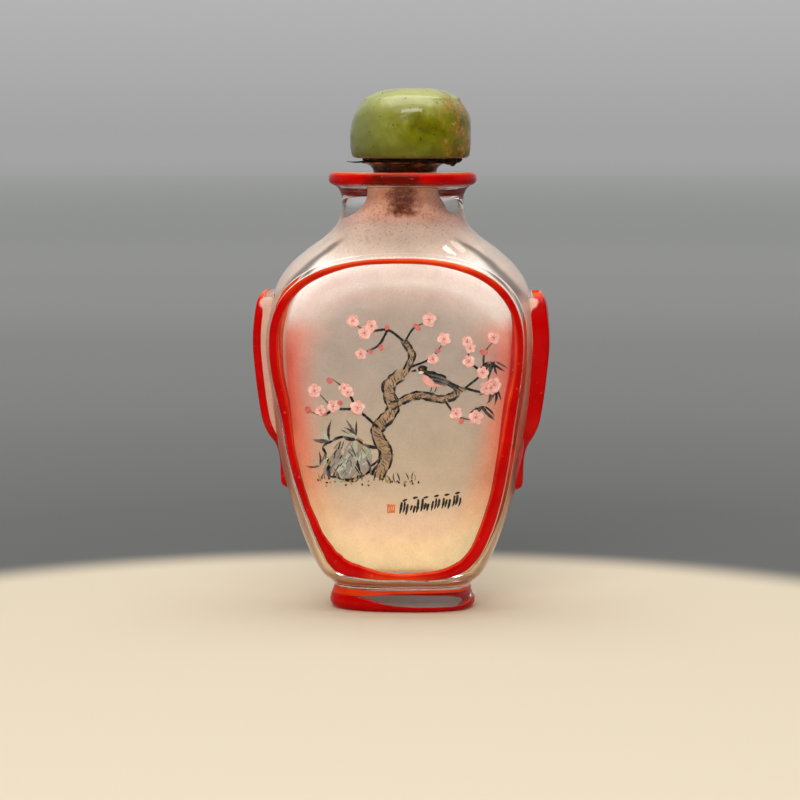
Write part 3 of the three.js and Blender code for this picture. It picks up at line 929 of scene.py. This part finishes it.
rim = panelRim()
leftLayer, rightLayer = (skin(lappetRings(lappet[name], 0.0, 0.0, lappet["topShare"]))
                         for name in ("leftLayer", "rightLayer"))
leftRubbed, rightRubbed = (lappetRubbed(out) for out in red["rubbedOut"])
makeRed("red_rim_front", [rim], lambda points: rimDepth())
makeRed("red_rim_back", [flipped(rim, y=-1)], lambda points: rimDepth())
makeRed("red_lappet_left", [flipped(leftLayer, x=-1)], lappetDepth, leftRubbed)
makeRed("red_lappet_right", [rightLayer], lappetDepth, rightRubbed)
makeRed("red_lip", [lipBand()], lipDepth)
makeRed("red_foot", footBand(), lambda points: thinTowards(points[:, 2], *foot["thin"]))
print("red layer made")

# The painting on the ground wall.

ink = {
    "black": (0.002, 0.002, 0.002), "brown": (0.035, 0.018, 0.010), "grey": (0.10, 0.085, 0.075),
    "wash": (0.27, 0.235, 0.20), "tan": (0.33, 0.205, 0.12), "ochre": (0.36, 0.25, 0.07),
    "pink": (0.74, 0.36, 0.30), "rose": (0.55, 0.13, 0.11), "sage": (0.38, 0.42, 0.32),
    "seal": (0.56, 0.12, 0.008), "pale": (0.70, 0.60, 0.50), "petal": (0.80, 0.47, 0.41),
}
darkInks = ("brown", "black", "grey", "ochre")
hollowRows = curveThrough(glass["hollow"], 0.3)
strokeRoot = 0.03  # how far a stroke starts inside the hollow


def wallDepth(x, z):
    # The hollow's half-depth over each point of its front: b (1 - |x/a|^n)^(1/n).
    a, b, n = levelsAt(hollowRows, z)
    return b * np.clip(1 - np.abs(x / a) ** n, 0.02, 1) ** (1 / n)


def sideways(rows):
    # The unit direction across a path at each of its points.
    along = np.gradient(rows, axis=0)
    along /= np.maximum(np.linalg.norm(along, axis=1), 1e-9)[:, None]
    return np.stack([-along[:, 1], along[:, 0]], -1)


class Painting:
    def __init__(self):
        self.parts, self.tones = [], []

    def brush(self, path, width, colour, layer=1, start=0.35, end=0.2, dry=0.25):
        # A flat ribbon along a smooth path: its width swells and tapers, and its two edges lie on the
        # wall. It starts just inside the hollow and stands a few hundredths proud in the glass.
        rows = curveThrough(path, max(0.16, width * 0.35))
        if len(rows) < 6:
            t = np.linspace(0, 1, 6)
            rows = np.stack([np.interp(t, np.linspace(0, 1, len(rows)), rows[:, i]) for i in (0, 1)], -1)
        t = np.linspace(0, 1, len(rows))
        swell = np.minimum(start + (1 - start) * (t / 0.22), 1)
        swell *= np.minimum(end + (1 - end) * ((1 - t) / 0.35), 1)
        swell *= 1 + 0.1 * rng.standard_normal(len(rows))
        across = sideways(rows) * (0.5 * width * swell)[:, None]
        left, right = rows + across, rows - across
        depth = [wallDepth(side[:, 0], side[:, 1]) for side in (left, right)]
        proud = 0.02 + 0.012 * layer
        ring = [np.stack([side[:, 0], -(d + lift), side[:, 1]], -1)
                for side, d, lift in ((left, depth[0], -strokeRoot), (right, depth[1], -strokeRoot),
                                      (right, depth[1], proud), (left, depth[0], proud))]
        self.parts.append(skin(np.stack(ring, 1)))
        # The brush runs dry and pale towards its end.
        fade = np.clip(t * 1.3 - 0.6, 0, 1)[:, None] * dry
        shade = (1 + 0.12 * rng.standard_normal((len(rows), 1))) * np.array(ink[colour])
        shade = shade * (1 - fade) + np.array(ink["pale"]) * fade
        shade = np.repeat(np.clip(shade, 0, 1), 4, axis=0)
        self.tones.append(np.vstack([shade, shade[:1], shade[-1:]]))

    def dab(self, x, z, length, width, turnDeg, colour, layer=1):
        # One short press of the brush, centred on a point.
        turn = math.radians(turnDeg)
        dx, dz = 0.5 * length * math.cos(turn), 0.5 * length * math.sin(turn)
        self.brush([(x - dx, z - dz), (x, z), (x + dx, z + dz)], width, colour, layer, 0.45, 0.4, 0.0)

    def piece(self, name, backwards=False):
        parts = [flipped(part, x=-1, y=-1) for part in self.parts] if backwards else self.parts
        made = makePiece(name, parts, pigment, 60)
        setColour(made.data, "pigment", np.vstack(self.tones))
        finishPiece(made, None)


def blossom(art, x, z, size, isOpen):
    # Five round petals, six fine stamens and a heart; a bud is a single dab.
    if not isOpen:
        art.dab(x, z, size, size * 0.8, rng.uniform(0, 180), "rose", 3)
        return
    first = rng.uniform(0, 72)
    for k in range(5):
        turn = math.radians(first + 72 * k + rng.uniform(-8, 8))
        px, pz = x + 0.55 * size * math.cos(turn), z + 0.55 * size * math.sin(turn)
        art.dab(px, pz, size * 0.95, size * 0.95, math.degrees(turn), "pink" if k % 2 else "petal", 3)
    for k in range(6):
        turn = math.radians(first + 60 * k)
        tip = (x + 0.5 * size * math.cos(turn), z + 0.5 * size * math.sin(turn))
        art.brush([(x, z), tip], 0.07, "rose", 4)
    art.dab(x, z, 0.3, 0.3, 0, "rose", 4)


def trunk(art, path, width):
    # A tan wash, dark broken edges, then bark strokes across it.
    art.brush(path, width, "tan", 1, 0.9, 0.6, 0.1)
    line = curveThrough(path, 0.5)
    across = sideways(line)
    for side in (-1, 1):
        edge = line + side * across * width * rng.uniform(0.36, 0.46, (len(line), 1))
        for i in range(0, len(edge) - 4, 4):
            art.brush(edge[i:i + 5], 0.3 + 0.24 * rng.random(), "black", 2, 0.5, 0.3, 0.2)
    for i in range(1, len(line) - 2):
        for _ in range(3):
            a, b = np.sort(rng.uniform(-0.4, 0.4, 2))
            start, stop = line[i] + across[i] * width * a, line[i + 1] + across[i + 1] * width * b
            art.brush([start, (start + stop) / 2 + rng.uniform(-0.1, 0.1, 2), stop], 0.12,
                      darkInks[rng.integers(4)], 3)


def leaf(art, x, z, length, turnDeg, colour, layer=2):
    # One tapering stroke with a slight bend to one side.
    turn = math.radians(turnDeg)
    bend = rng.uniform(-0.12, 0.12) * length
    mid = (x + 0.5 * length * math.cos(turn) - bend * math.sin(turn),
           z + 0.5 * length * math.sin(turn) + bend * math.cos(turn))
    art.brush([(x, z), mid, (x + length * math.cos(turn), z + length * math.sin(turn))],
              0.17 * length ** 0.7, colour, layer, 0.2, 0.02, 0.15)


def rock(art, cx, cz, wide, high):
    # Broad washes, then a broken dark outline and slanting strokes that model its faces.
    for _ in range(16):
        x, z = cx + rng.uniform(-0.36, 0.36) * wide, cz + rng.uniform(-0.3, 0.34) * high
        art.dab(x, z, rng.uniform(0.35, 0.5) * wide, rng.uniform(0.22, 0.34) * high, rng.uniform(40, 80),
                ("sage", "wash", "tan", "wash")[rng.integers(4)], 1)
    turn = np.linspace(0, 2 * np.pi, 15)[:-1]
    radius = 0.5 + 0.06 * np.sin(3 * turn + 1) + 0.05 * np.sin(5 * turn)
    edge = np.stack([cx + wide * radius * np.cos(turn), cz + high * radius * np.sin(turn)], -1)
    for i in range(len(turn)):
        arc = edge[[i, (i + 1) % len(turn)]]
        middle = arc.mean(0) + rng.uniform(-0.3, 0.3, 2)
        art.brush([arc[0], middle, arc[1]], 0.36 + 0.3 * rng.random(), "black", 2, 0.6, 0.4, 0.3)
    for _ in range(34):
        x, z = cx + rng.uniform(-0.38, 0.38) * wide, cz + rng.uniform(-0.36, 0.36) * high
        turnDeg = rng.uniform(50, 75) if x < cx else rng.uniform(100, 130)
        art.dab(x, z, rng.uniform(0.8, 2.0), rng.uniform(0.1, 0.24), turnDeg, darkInks[rng.integers(4)], 3)


def bird(art, x, z, s):
    # A bird that looks left, of size s: breast, back, wing, tail, head, cheek, eye, beak and legs.
    def at(points):
        return [(x + px * s, z + pz * s) for px, pz in points]
    art.brush(at([(2.2, 0.2), (0.6, 0.1), (-1.4, 0.9)]), 2.5 * s, "pink", 3, 0.5, 0.6, 0.0)
    art.brush(at([(2.6, 0.5), (0.6, 1.0), (-1.3, 1.7)]), 1.3 * s, "black", 4, 0.5, 0.6, 0.0)
    for k in range(5):
        art.brush(at([(-0.4 + 0.2 * k, 1.25 - 0.33 * k), (1.6 + 0.1 * k, 0.7 - 0.3 * k),
                      (3.4 - 0.2 * k, 0.05 - 0.22 * k)]), 0.42 * s, "black" if k % 2 else "grey", 5)
    for k in range(4):
        art.brush(at([(2.2, 0.3 - 0.15 * k), (4.2, -0.6 - 0.28 * k), (6.0 - 0.5 * k, -1.4 - 0.42 * k)]),
                  0.36 * s, "black" if k != 2 else "grey", 4, 0.6, 0.3, 0.1)
    art.brush(at([(-0.8, 1.9), (-1.5, 2.1), (-2.2, 1.85)]), 1.55 * s, "black", 5, 0.7, 0.7, 0.0)
    art.dab(x - 1.75 * s, z + 1.55 * s, 0.9 * s, 0.5 * s, 0, "pale", 6)
    art.dab(x - 1.75 * s, z + 2.15 * s, 0.28 * s, 0.28 * s, 0, "seal", 6)
    art.brush(at([(-2.6, 1.95), (-3.5, 1.7)]), 0.4 * s, "brown", 5, 1.0, 0.1)
    for k in (0.1, 0.9):
        art.brush(at([(k, -0.9), (k - 0.15, -1.6), (k - 0.5, -1.9)]), 0.16 * s, "brown", 4)


def paintFront():
    # A plum tree in flower beside a rock, with a bird, bamboo leaves and grass.
    art = Painting()
    rock(art, -8.2, 26.4, 9.0, 7.0)
    trunk(art, [(-3.6, 23.2), (-2.0, 27.0), (-3.6, 31.0), (-1.0, 34.6), (-1.6, 38.4), (1.6, 41.4)], 2.3)
    trunk(art, [(1.2, 41.0), (2.2, 43.6), (0.8, 46.2)], 1.2)
    trunk(art, [(-1.4, 35.0), (3.0, 37.0), (7.6, 36.4), (11.0, 38.2)], 1.3)
    twigs = [[(-3.4, 31.6), (-7.0, 34.4), (-10.6, 34.8), (-13.6, 37.4)],
             [(-10.6, 34.8), (-12.4, 33.6), (-14.8, 34.0)],
             [(-7.0, 34.4), (-8.4, 37.4), (-11.0, 39.6)],
             [(0.8, 46.0), (-1.8, 47.8), (-5.2, 47.6), (-7.6, 49.0)],
             [(0.9, 45.6), (2.6, 48.2), (5.0, 49.2)],
             [(11.0, 38.2), (13.8, 40.8), (14.2, 44.0), (16.0, 46.4)],
             [(11.0, 38.2), (14.0, 37.6), (16.2, 38.8)],
             [(1.8, 41.6), (5.4, 43.2), (7.6, 46.0)],
             [(-1.8, 47.8), (-3.4, 45.2), (-6.4, 43.8)],
             [(7.4, 36.4), (9.8, 33.6), (12.4, 32.8)],
             [(13.8, 40.8), (11.6, 43.0), (11.8, 45.4)]]
    for path in twigs:
        art.brush(path, rng.uniform(0.34, 0.5), "black", 2, 1.0, 0.25, 0.3)
    for path in twigs:
        stops = np.asarray(path[1:])
        for px, pz in stops:
            blossom(art, px + rng.uniform(-0.5, 0.5), pz + rng.uniform(-0.4, 0.6), rng.uniform(0.95, 1.3),
                    rng.random() < 0.78)
        px, pz = stops.mean(0) + rng.uniform(-0.7, 0.7, 2)
        blossom(art, px, pz, rng.uniform(0.8, 1.1), rng.random() < 0.7)
    bird(art, 5.4, 39.3, 0.95)
    for x, z, count, span in ((-11.6, 29.2, 7, 3.4), (-7.0, 30.2, 6, 3.0), (-13.2, 25.0, 5, 2.8)):
        for k in range(count):
            leaf(art, x, z, span * rng.uniform(0.7, 1.1), rng.uniform(20, 200),
                 ("sage", "grey", "brown")[k % 3])
    for x, z in ((15.4, 42.6), (16.4, 38.6), (13.6, 35.2)):
        for k in range(9):
            leaf(art, x + rng.uniform(-0.8, 0.8), z, rng.uniform(2.2, 3.8), rng.uniform(195, 335),
                 ("black", "black", "grey")[k % 3])
    for k in range(26):
        x = rng.uniform(-13.5, 3.0)
        leaf(art, x, 22.6 + 0.3 * math.sin(x), rng.uniform(0.9, 2.2), rng.uniform(60, 125),
             ("ochre", "brown", "grey")[k % 3], 3)
    for k in range(40):
        art.dab(rng.uniform(-13.8, 3.6), 22.4 + rng.normal(0, 0.35), 0.4, 0.28, rng.uniform(0, 180),
                ("ochre", "brown", "black", "tan")[k % 4], 3)
    marks(art)
    art.piece("painting_front")


def marks(art):
    # A row of short dabs that spell nothing, falling a little to the left, and a square seal mark.
    for k in range(6):
        x, z = 9.9 - 1.75 * k, 19.6 - 0.22 * k
        for j in range(3):
            path = [(x + 0.5 * j - 0.6, z + rng.uniform(-0.2, 0.9)),
                    (x + 0.5 * j - 0.72, z - rng.uniform(0.2, 0.6)),
                    (x + 0.5 * j - 0.95, z - rng.uniform(0.9, 1.6))]
            art.brush(path, rng.uniform(0.32, 0.46), "black", 2, 0.7, 0.4, 0.0)
        art.dab(x - 0.1, z + rng.uniform(0.9, 1.2), 0.85, 0.36, rng.uniform(5, 25), "black", 2)
    art.brush([(-1.9, 18.0), (-0.6, 18.0)], 1.45, "seal", 2, 1.0, 1.0, 0.0)
    for k in range(3):
        art.dab(-1.6 + 0.35 * k, 18.0 + 0.1 * (k - 1), 0.8, 0.09, 84, "pale", 3)


def paintBack():
    # Two bamboo stems with drooping leaves, over a little grass.
    art = Painting()
    for x, lean in ((-4.5, 0.6), (-1.0, -0.4)):
        path = [(x, 20.0), (x + lean, 27.5), (x + 1.6 * lean, 35.0), (x + 2.8 * lean, 43.0)]
        art.brush(path, 0.8, "sage", 1, 0.9, 0.5, 0.2)
        for t in (0.22, 0.45, 0.68):
            px, pz = x + 2.2 * lean * t, 20 + 23 * t
            art.dab(px, pz, 1.2, 0.16, 4, "grey", 2)
            for _ in range(5):
                leaf(art, px, pz, rng.uniform(3.0, 5.2),
                     rng.choice([rng.uniform(-70, -10), rng.uniform(190, 250)]),
                     ("grey", "black", "sage")[rng.integers(3)])
    for k in range(18):
        leaf(art, rng.uniform(-8, 4), 19.6, rng.uniform(1.0, 2.4), rng.uniform(60, 120),
             ("grey", "ochre", "brown")[k % 3], 2)
    art.piece("painting_back", backwards=True)


paintFront()
paintBack()
print("painting made")

# The stopper.

def turned(profile, offset):
    # A round form from its profile of radius and height, moved along X.
    rows = np.array([[r, r, z, 2.0] for r, z in profile])
    return skin(ovalRings(rows, 96, (offset, 0.0)))


cork = {"x": 0.2, "pitch": 0.25, "pits": 0.02,
        "profile": [(3.8, 66.3), (4.2, 66.7), (4.35, 68), (4.5, 71), (4.5, 73.63)]}


def makeCorkPiece():
    rows = curveThrough([[r, r, z, 2] for r, z in cork["profile"]], cork["pitch"])
    middle = np.array([cork["x"], 0.0])
    rings = ovalRings(rows, 96, middle)
    pits = 1 - cork["pits"] * rng.random(rings.shape[:2]) ** 3
    rings[..., :2] = middle + (rings[..., :2] - middle) * pits[..., None]
    return makePiece("cork_plug", [skin(rings)], agedCork, 60)


collar = {"x": 0.4, "rim": 7.2, "flare": 1.9, "wallBottom": 73.68, "wallHeight": 1.42,
          "underside": (5.1, 73.66), "rimTop": [(7.2, 75.3), (7.0, 75.32)]}


def makeCollar():
    # The wall is a quarter of an ellipse with its hollow side outwards.
    rim, flare, bottom, height = (collar[name] for name in ("rim", "flare", "wallBottom", "wallHeight"))
    wall = [(rim - flare * math.cos(turn), bottom + height * math.sin(turn))
            for turn in np.linspace(0, np.pi / 2, 14)]
    profile = [collar["underside"]] + wall + collar["rimTop"]
    return makePiece("collar_flare", [turned(profile, collar["x"])], horn)


glue = {
    "x": 0.7, "top": 75.96,
    # the bed's radius and height from the bottom up, and how much of the raggedness each level has
    "bed": [(6.6, 75.31, 0.4), (7.1, 75.36, 1.0), (7.45, 75.55, 1.0), (7.6, 75.8, 0.8), (7.6, 75.96, 0.6)],
    "ragged": [(3, 0.22, 0.4), (7, 0.16, 1.9), (13, 0.12, 0.0), (23, 0.1, 2.2)],  # count, depth, start
    # lumps that hang at the right: middle in X and Y, half-widths, drop
    "lumps": [(8.0, -2.6, 1.3, 1.5, 1.1), (9.0, -1.6, 1.0, 1.2, 0.8), (7.0, -3.6, 1.0, 1.0, 0.6),
              (9.2, -0.2, 0.7, 1.2, 0.55), (8.6, -3.0, 0.6, 0.7, 1.35)],
    # a lump's shape: shares of its width and of its drop
    "lumpShape": [(1.0, 0.0), (1.05, 0.3), (0.92, 0.6), (0.66, 0.85), (0.3, 0.98)],
    # a splinter at the left: where it starts, how far it runs, its sag and thickness
    "splinter": (-6.2, -2.4, 75.42), "splinterRun": (-3.1, 0.5), "splinterSag": 0.12,
    "splinterThick": 0.16, "splinterTip": 0.02,
}


def makeGlue():
    # A low bed with a ragged rim, whose radius wanders by a few waves, with its lumps and splinter.
    angle = np.linspace(0, 2 * np.pi, 160, endpoint=False)
    wander = waves(angle, glue["ragged"])
    rings = []
    for radius, z, share in glue["bed"]:
        r = radius + wander * share
        rings.append(np.stack([glue["x"] + r * np.cos(angle), r * np.sin(angle), 0 * angle + z], -1))
    parts = [skin(np.stack(rings))]
    for x, y, halfX, halfY, drop in glue["lumps"]:
        rows = np.array([[halfX * w, halfY * w, glue["top"] - drop * h, 2.0] for w, h in glue["lumpShape"]])
        lump = ovalRings(rows[::-1], 28, (x, y))
        lump[..., :2] += 0.12 * np.sin(5 * lump[..., 1:2] + 9 * lump[..., 2:3])
        parts.append(skin(lump))
    t = np.linspace(0, 1, 24)[:, None]
    turn = np.linspace(0, 2 * np.pi, 10, endpoint=False)[None, :]
    thick = glue["splinterThick"] * (1 - t) ** 0.7 + glue["splinterTip"]
    (x, y, z), (runX, runY) = glue["splinter"], glue["splinterRun"]
    parts.append(skin(np.stack([x + runX * t + 0 * turn, y + runY * t + 1.4 * thick * np.cos(turn),
                                z - glue["splinterSag"] * np.sin(np.pi * t) + thick * np.sin(turn)], -1)))
    return makePiece("glue_bed", parts, blackGlue, 60)


cap = {
    "x": 1.4, "bottom": 75.95, "top": 87.6, "radius": 10.2, "waist": 79.5, "columns": 150, "steps": 90,
    # the rounded lower edge: from the radius inwards, and up from the bottom
    "edge": [(-1.5, 0.0), (-0.95, 0.03), (-0.55, 0.18), (-0.3, 0.5), (-0.15, 1.0), (-0.05, 1.8),
             (0.0, 2.8)],
    "squareness": 0.6, "rightSquareness": 0.07,
    "swellHeight": 82.9, "swellSpread": 1.5, "swell": 0.032,
    "ridgeHeight": 86.0, "ridgeSpread": 0.45, "ridge": (0.025, 0.02),
}


def makeCap():
    # A barrel side turning into a low dome: radius cos(t)^squareness at a height that goes as sin(t)^0.95.
    # The section wanders a little off round, it swells at the right, and a soft ridge runs round the
    # dome's shoulder, as on a pebble ground by hand.
    angle = np.linspace(0, 2 * np.pi, cap["columns"], endpoint=False)[None, :]
    bottom, top, waist, radius = (cap[name] for name in ("bottom", "top", "waist", "radius"))
    edge = np.array(cap["edge"]) + np.array([radius, bottom])
    quarter = np.pi / 2 * np.linspace(0, 1, cap["steps"])[:-1, None]
    right = np.cos(angle)
    reach = np.clip(np.cos(quarter), 1e-4, 1) ** (cap["squareness"] - cap["rightSquareness"] * right)
    height = waist + (top - waist) * np.sin(quarter) ** 0.95 + 0 * angle
    swell = np.exp(-((height - cap["swellHeight"]) / cap["swellSpread"]) ** 2) * np.clip(right, 0, 1) ** 3
    ridge = np.exp(-((height - cap["ridgeHeight"]) / cap["ridgeSpread"]) ** 2)
    ridge = ridge * (cap["ridge"][0] + cap["ridge"][1] * np.sin(2 * angle + 2.0))
    reach = radius * reach * (1 + cap["swell"] * swell + ridge)
    dome = np.stack([reach * np.cos(angle), reach * np.sin(angle), height], -1)
    lower = np.stack([edge[:, :1] * np.cos(angle), edge[:, :1] * np.sin(angle),
                      edge[:, 1:] + 0 * angle], -1)
    rings = np.vstack([lower, dome[1:]])
    up = (rings[..., 2:] - bottom) / (top - bottom)
    wobble = 1 - 0.005 * (1 + np.sin(3 * angle + 0.5))[..., None]
    wobble = wobble - 0.004 * (1 + np.sin(5 * angle[..., None] + 4 * up)) * (up > 0.05)
    rings[..., :2] *= wobble
    rings[..., 0] += cap["x"]
    return makePiece("jade_cap", [skin(rings)], jade, 50)


finishPiece(makeCorkPiece(), "stopper_cork")
finishPiece(makeCollar(), "stopper_collar")
finishPiece(makeGlue(), "stopper_glue")
finishPiece(makeCap(), "stopper_cap")
print("stopper made")

# The stage: floor, world, lights and camera, in metres. The pale table top is a round pool of colour
# with a soft edge. Past it the floor is grey and grows slowly lighter with distance, until it meets the
# world's own grey at the horizon.
stage = {
    "floorDrop": 0.02,  # millimetres below the foot
    "floorRings": [0.02, 0.05, 0.12, 0.4, 1.5, 9.0],
    "poolCentre": (0.0, -0.06, 0.0), "poolSpan": (0.103, 0.123), "pale": (0.445, 0.39, 0.30),
    "greyByDistance": [(0.085, 0.093), (0.125, 0.099), (0.235, 0.125), (0.56, 0.180), (0.97, 0.265),
                       (1.6, 0.385), (2.64, 0.575), (9.0, 0.82)],
    "greyTint": (0.985, 1.01, 0.985), "glowSpan": (0.3, 0.9),  # the glow's span is in tens' logarithms
    "horizon": (0.365, 0.365 * 1.01, 0.365), "sky": grey(0.47), "skyHeight": 0.06,
    # a dim room on the side that the front faces: its grey, its span across, its span upwards
    "room": grey(0.06), "roomAcross": (0.2, -0.5), "roomUp": (0.6, 0.3),
}


def makeFloorSurface():
    material, tree, place = newMaterial("paleFloor")
    away = addNode(tree, "VectorMath", {0: place}, operation="LENGTH").outputs["Value"]
    logAway = arithmetic(tree, "LOGARITHM", away, 10.0)
    near, far = (math.log10(stage["greyByDistance"][i][0]) for i in (0, -1))
    stops = [((math.log10(distance) - near) / (far - near), tuple(shade * c for c in stage["greyTint"]))
             for distance, shade in stage["greyByDistance"]]
    greys = ramp(tree, mapRange(tree, logAway, near, far, smoothly=False), stops)
    fromPool = addNode(tree, "VectorMath", {0: place, 1: stage["poolCentre"]},
                       operation="DISTANCE").outputs["Value"]
    # Far away it takes on the world's own colour at the horizon, so no seam shows.
    farAway = mapRange(tree, logAway, *stage["glowSpan"])
    across = arithmetic(tree, "DIVIDE", axesOf(tree, place)["Y"], away)
    glow = mixColour(tree, mapRange(tree, across, *stage["roomAcross"]), stage["horizon"], stage["room"])
    greys = mixColour(tree, farAway, greys, grey(0.0))
    pool = mapRange(tree, fromPool, *stage["poolSpan"])
    principled(tree, {"Base Color": mixColour(tree, pool, stage["pale"], greys),
                      "Roughness": 0.8, "Specular IOR Level": 0.0, "Emission Strength": 1.0,
                      "Emission Color": mixColour(tree, farAway, grey(0.0), glow)})
    return material


def makeFloor():
    # A flat disc: the fan at one end of its skin closes its middle.
    angle = np.linspace(0, 2 * np.pi, 96, endpoint=False)
    radius = np.array(stage["floorRings"])[:, None] / millimetre
    rings = np.stack([radius * np.cos(angle), radius * np.sin(angle),
                      0 * radius * angle - stage["floorDrop"]], -1)
    points, faces = skin(rings)
    faces = [f[::-1] for f in faces if len(f) == 4 or len(points) - 2 in f]
    mesh = bpy.data.meshes.new("floor")
    mesh.from_pydata((points * millimetre).tolist(), [], faces)
    mesh.update()
    mesh.materials.append(makeFloorSurface())
    floor = bpy.data.objects.new("floor", mesh)
    bpy.context.collection.objects.link(floor)


def makeWorld():
    # Grey that lightens from the horizon up, and the dim room.
    world = bpy.data.worlds.new("studio")
    bpy.context.scene.world = world
    world.use_nodes = True
    tree = world.node_tree
    axes = axesOf(tree, addNode(tree, "TexCoord").outputs["Generated"])
    colour = ramp(tree, mapRange(tree, axes["Z"], 0.0, stage["skyHeight"], smoothly=False),
                  [(0.0, stage["horizon"]), (1.0, stage["sky"])])
    front = times(tree, mapRange(tree, axes["Y"], *stage["roomAcross"]),
                  mapRange(tree, axes["Z"], *stage["roomUp"]))
    background = tree.nodes["Background"]
    tree.links.new(mixColour(tree, front, colour, stage["room"]), background.inputs["Color"])
    background.inputs["Strength"].default_value = 1.0


# Each light's name, place, size, watts, colour, and whether it shows in reflections.
lightTarget = (0.0, 0.0, 0.05)
lights = [
    ("overhead", (0.0, 0.1, 1.5), (1.6, 1.2), 25.0, (1.0, 0.98, 0.95), True),
    ("frontFill", (-0.12, -0.8, 0.42), (0.6, 0.4), 5.2, (1.0, 0.98, 0.96), False),
    ("glint", (0.03, -0.55, 0.8), (0.5, 0.16), 3.2, (1.0, 0.99, 0.97), True),
]


def addLight(name, place, size, watts, colour, isReflected):
    # A rectangle of light turned towards the target.
    data = bpy.data.lights.new(name, "AREA")
    data.shape = "RECTANGLE"
    data.size, data.size_y = size
    data.energy = watts
    data.color = colour
    light = bpy.data.objects.new(name, data)
    bpy.context.collection.objects.link(light)
    x, y, z = np.array(place) - np.array(lightTarget)
    light.location = place
    light.rotation_euler = (math.atan2(math.hypot(x, y), z), 0.0, math.atan2(y, x) + math.pi / 2)
    light.visible_glossy = isReflected


view = {"lens": 115.5, "sensor": 36.0, "distance": 0.432, "height": 0.0803, "azimuthDeg": 4.0,
        "downDeg": 5.96, "aside": 0.001, "clip": (0.01, 50.0)}


def addCamera():
    data = bpy.data.cameras.new("camera")
    data.sensor_width = view["sensor"]
    data.lens = view["lens"]
    data.clip_start, data.clip_end = view["clip"]
    camera = bpy.data.objects.new("camera", data)
    bpy.context.collection.objects.link(camera)
    azimuth, distance = math.radians(view["azimuthDeg"]), view["distance"]
    camera.location = (distance * math.sin(azimuth), -distance * math.cos(azimuth), view["height"])
    camera.rotation_euler = (math.pi / 2 - math.radians(view["downDeg"]), 0.0, azimuth + view["aside"])
    bpy.context.scene.camera = camera


makeFloor()
makeWorld()
for light in lights:
    addLight(*light)
addCamera()
scene = bpy.context.scene
scene.view_settings.view_transform = "Standard"
scene.view_settings.look = "None"
print("stage set")
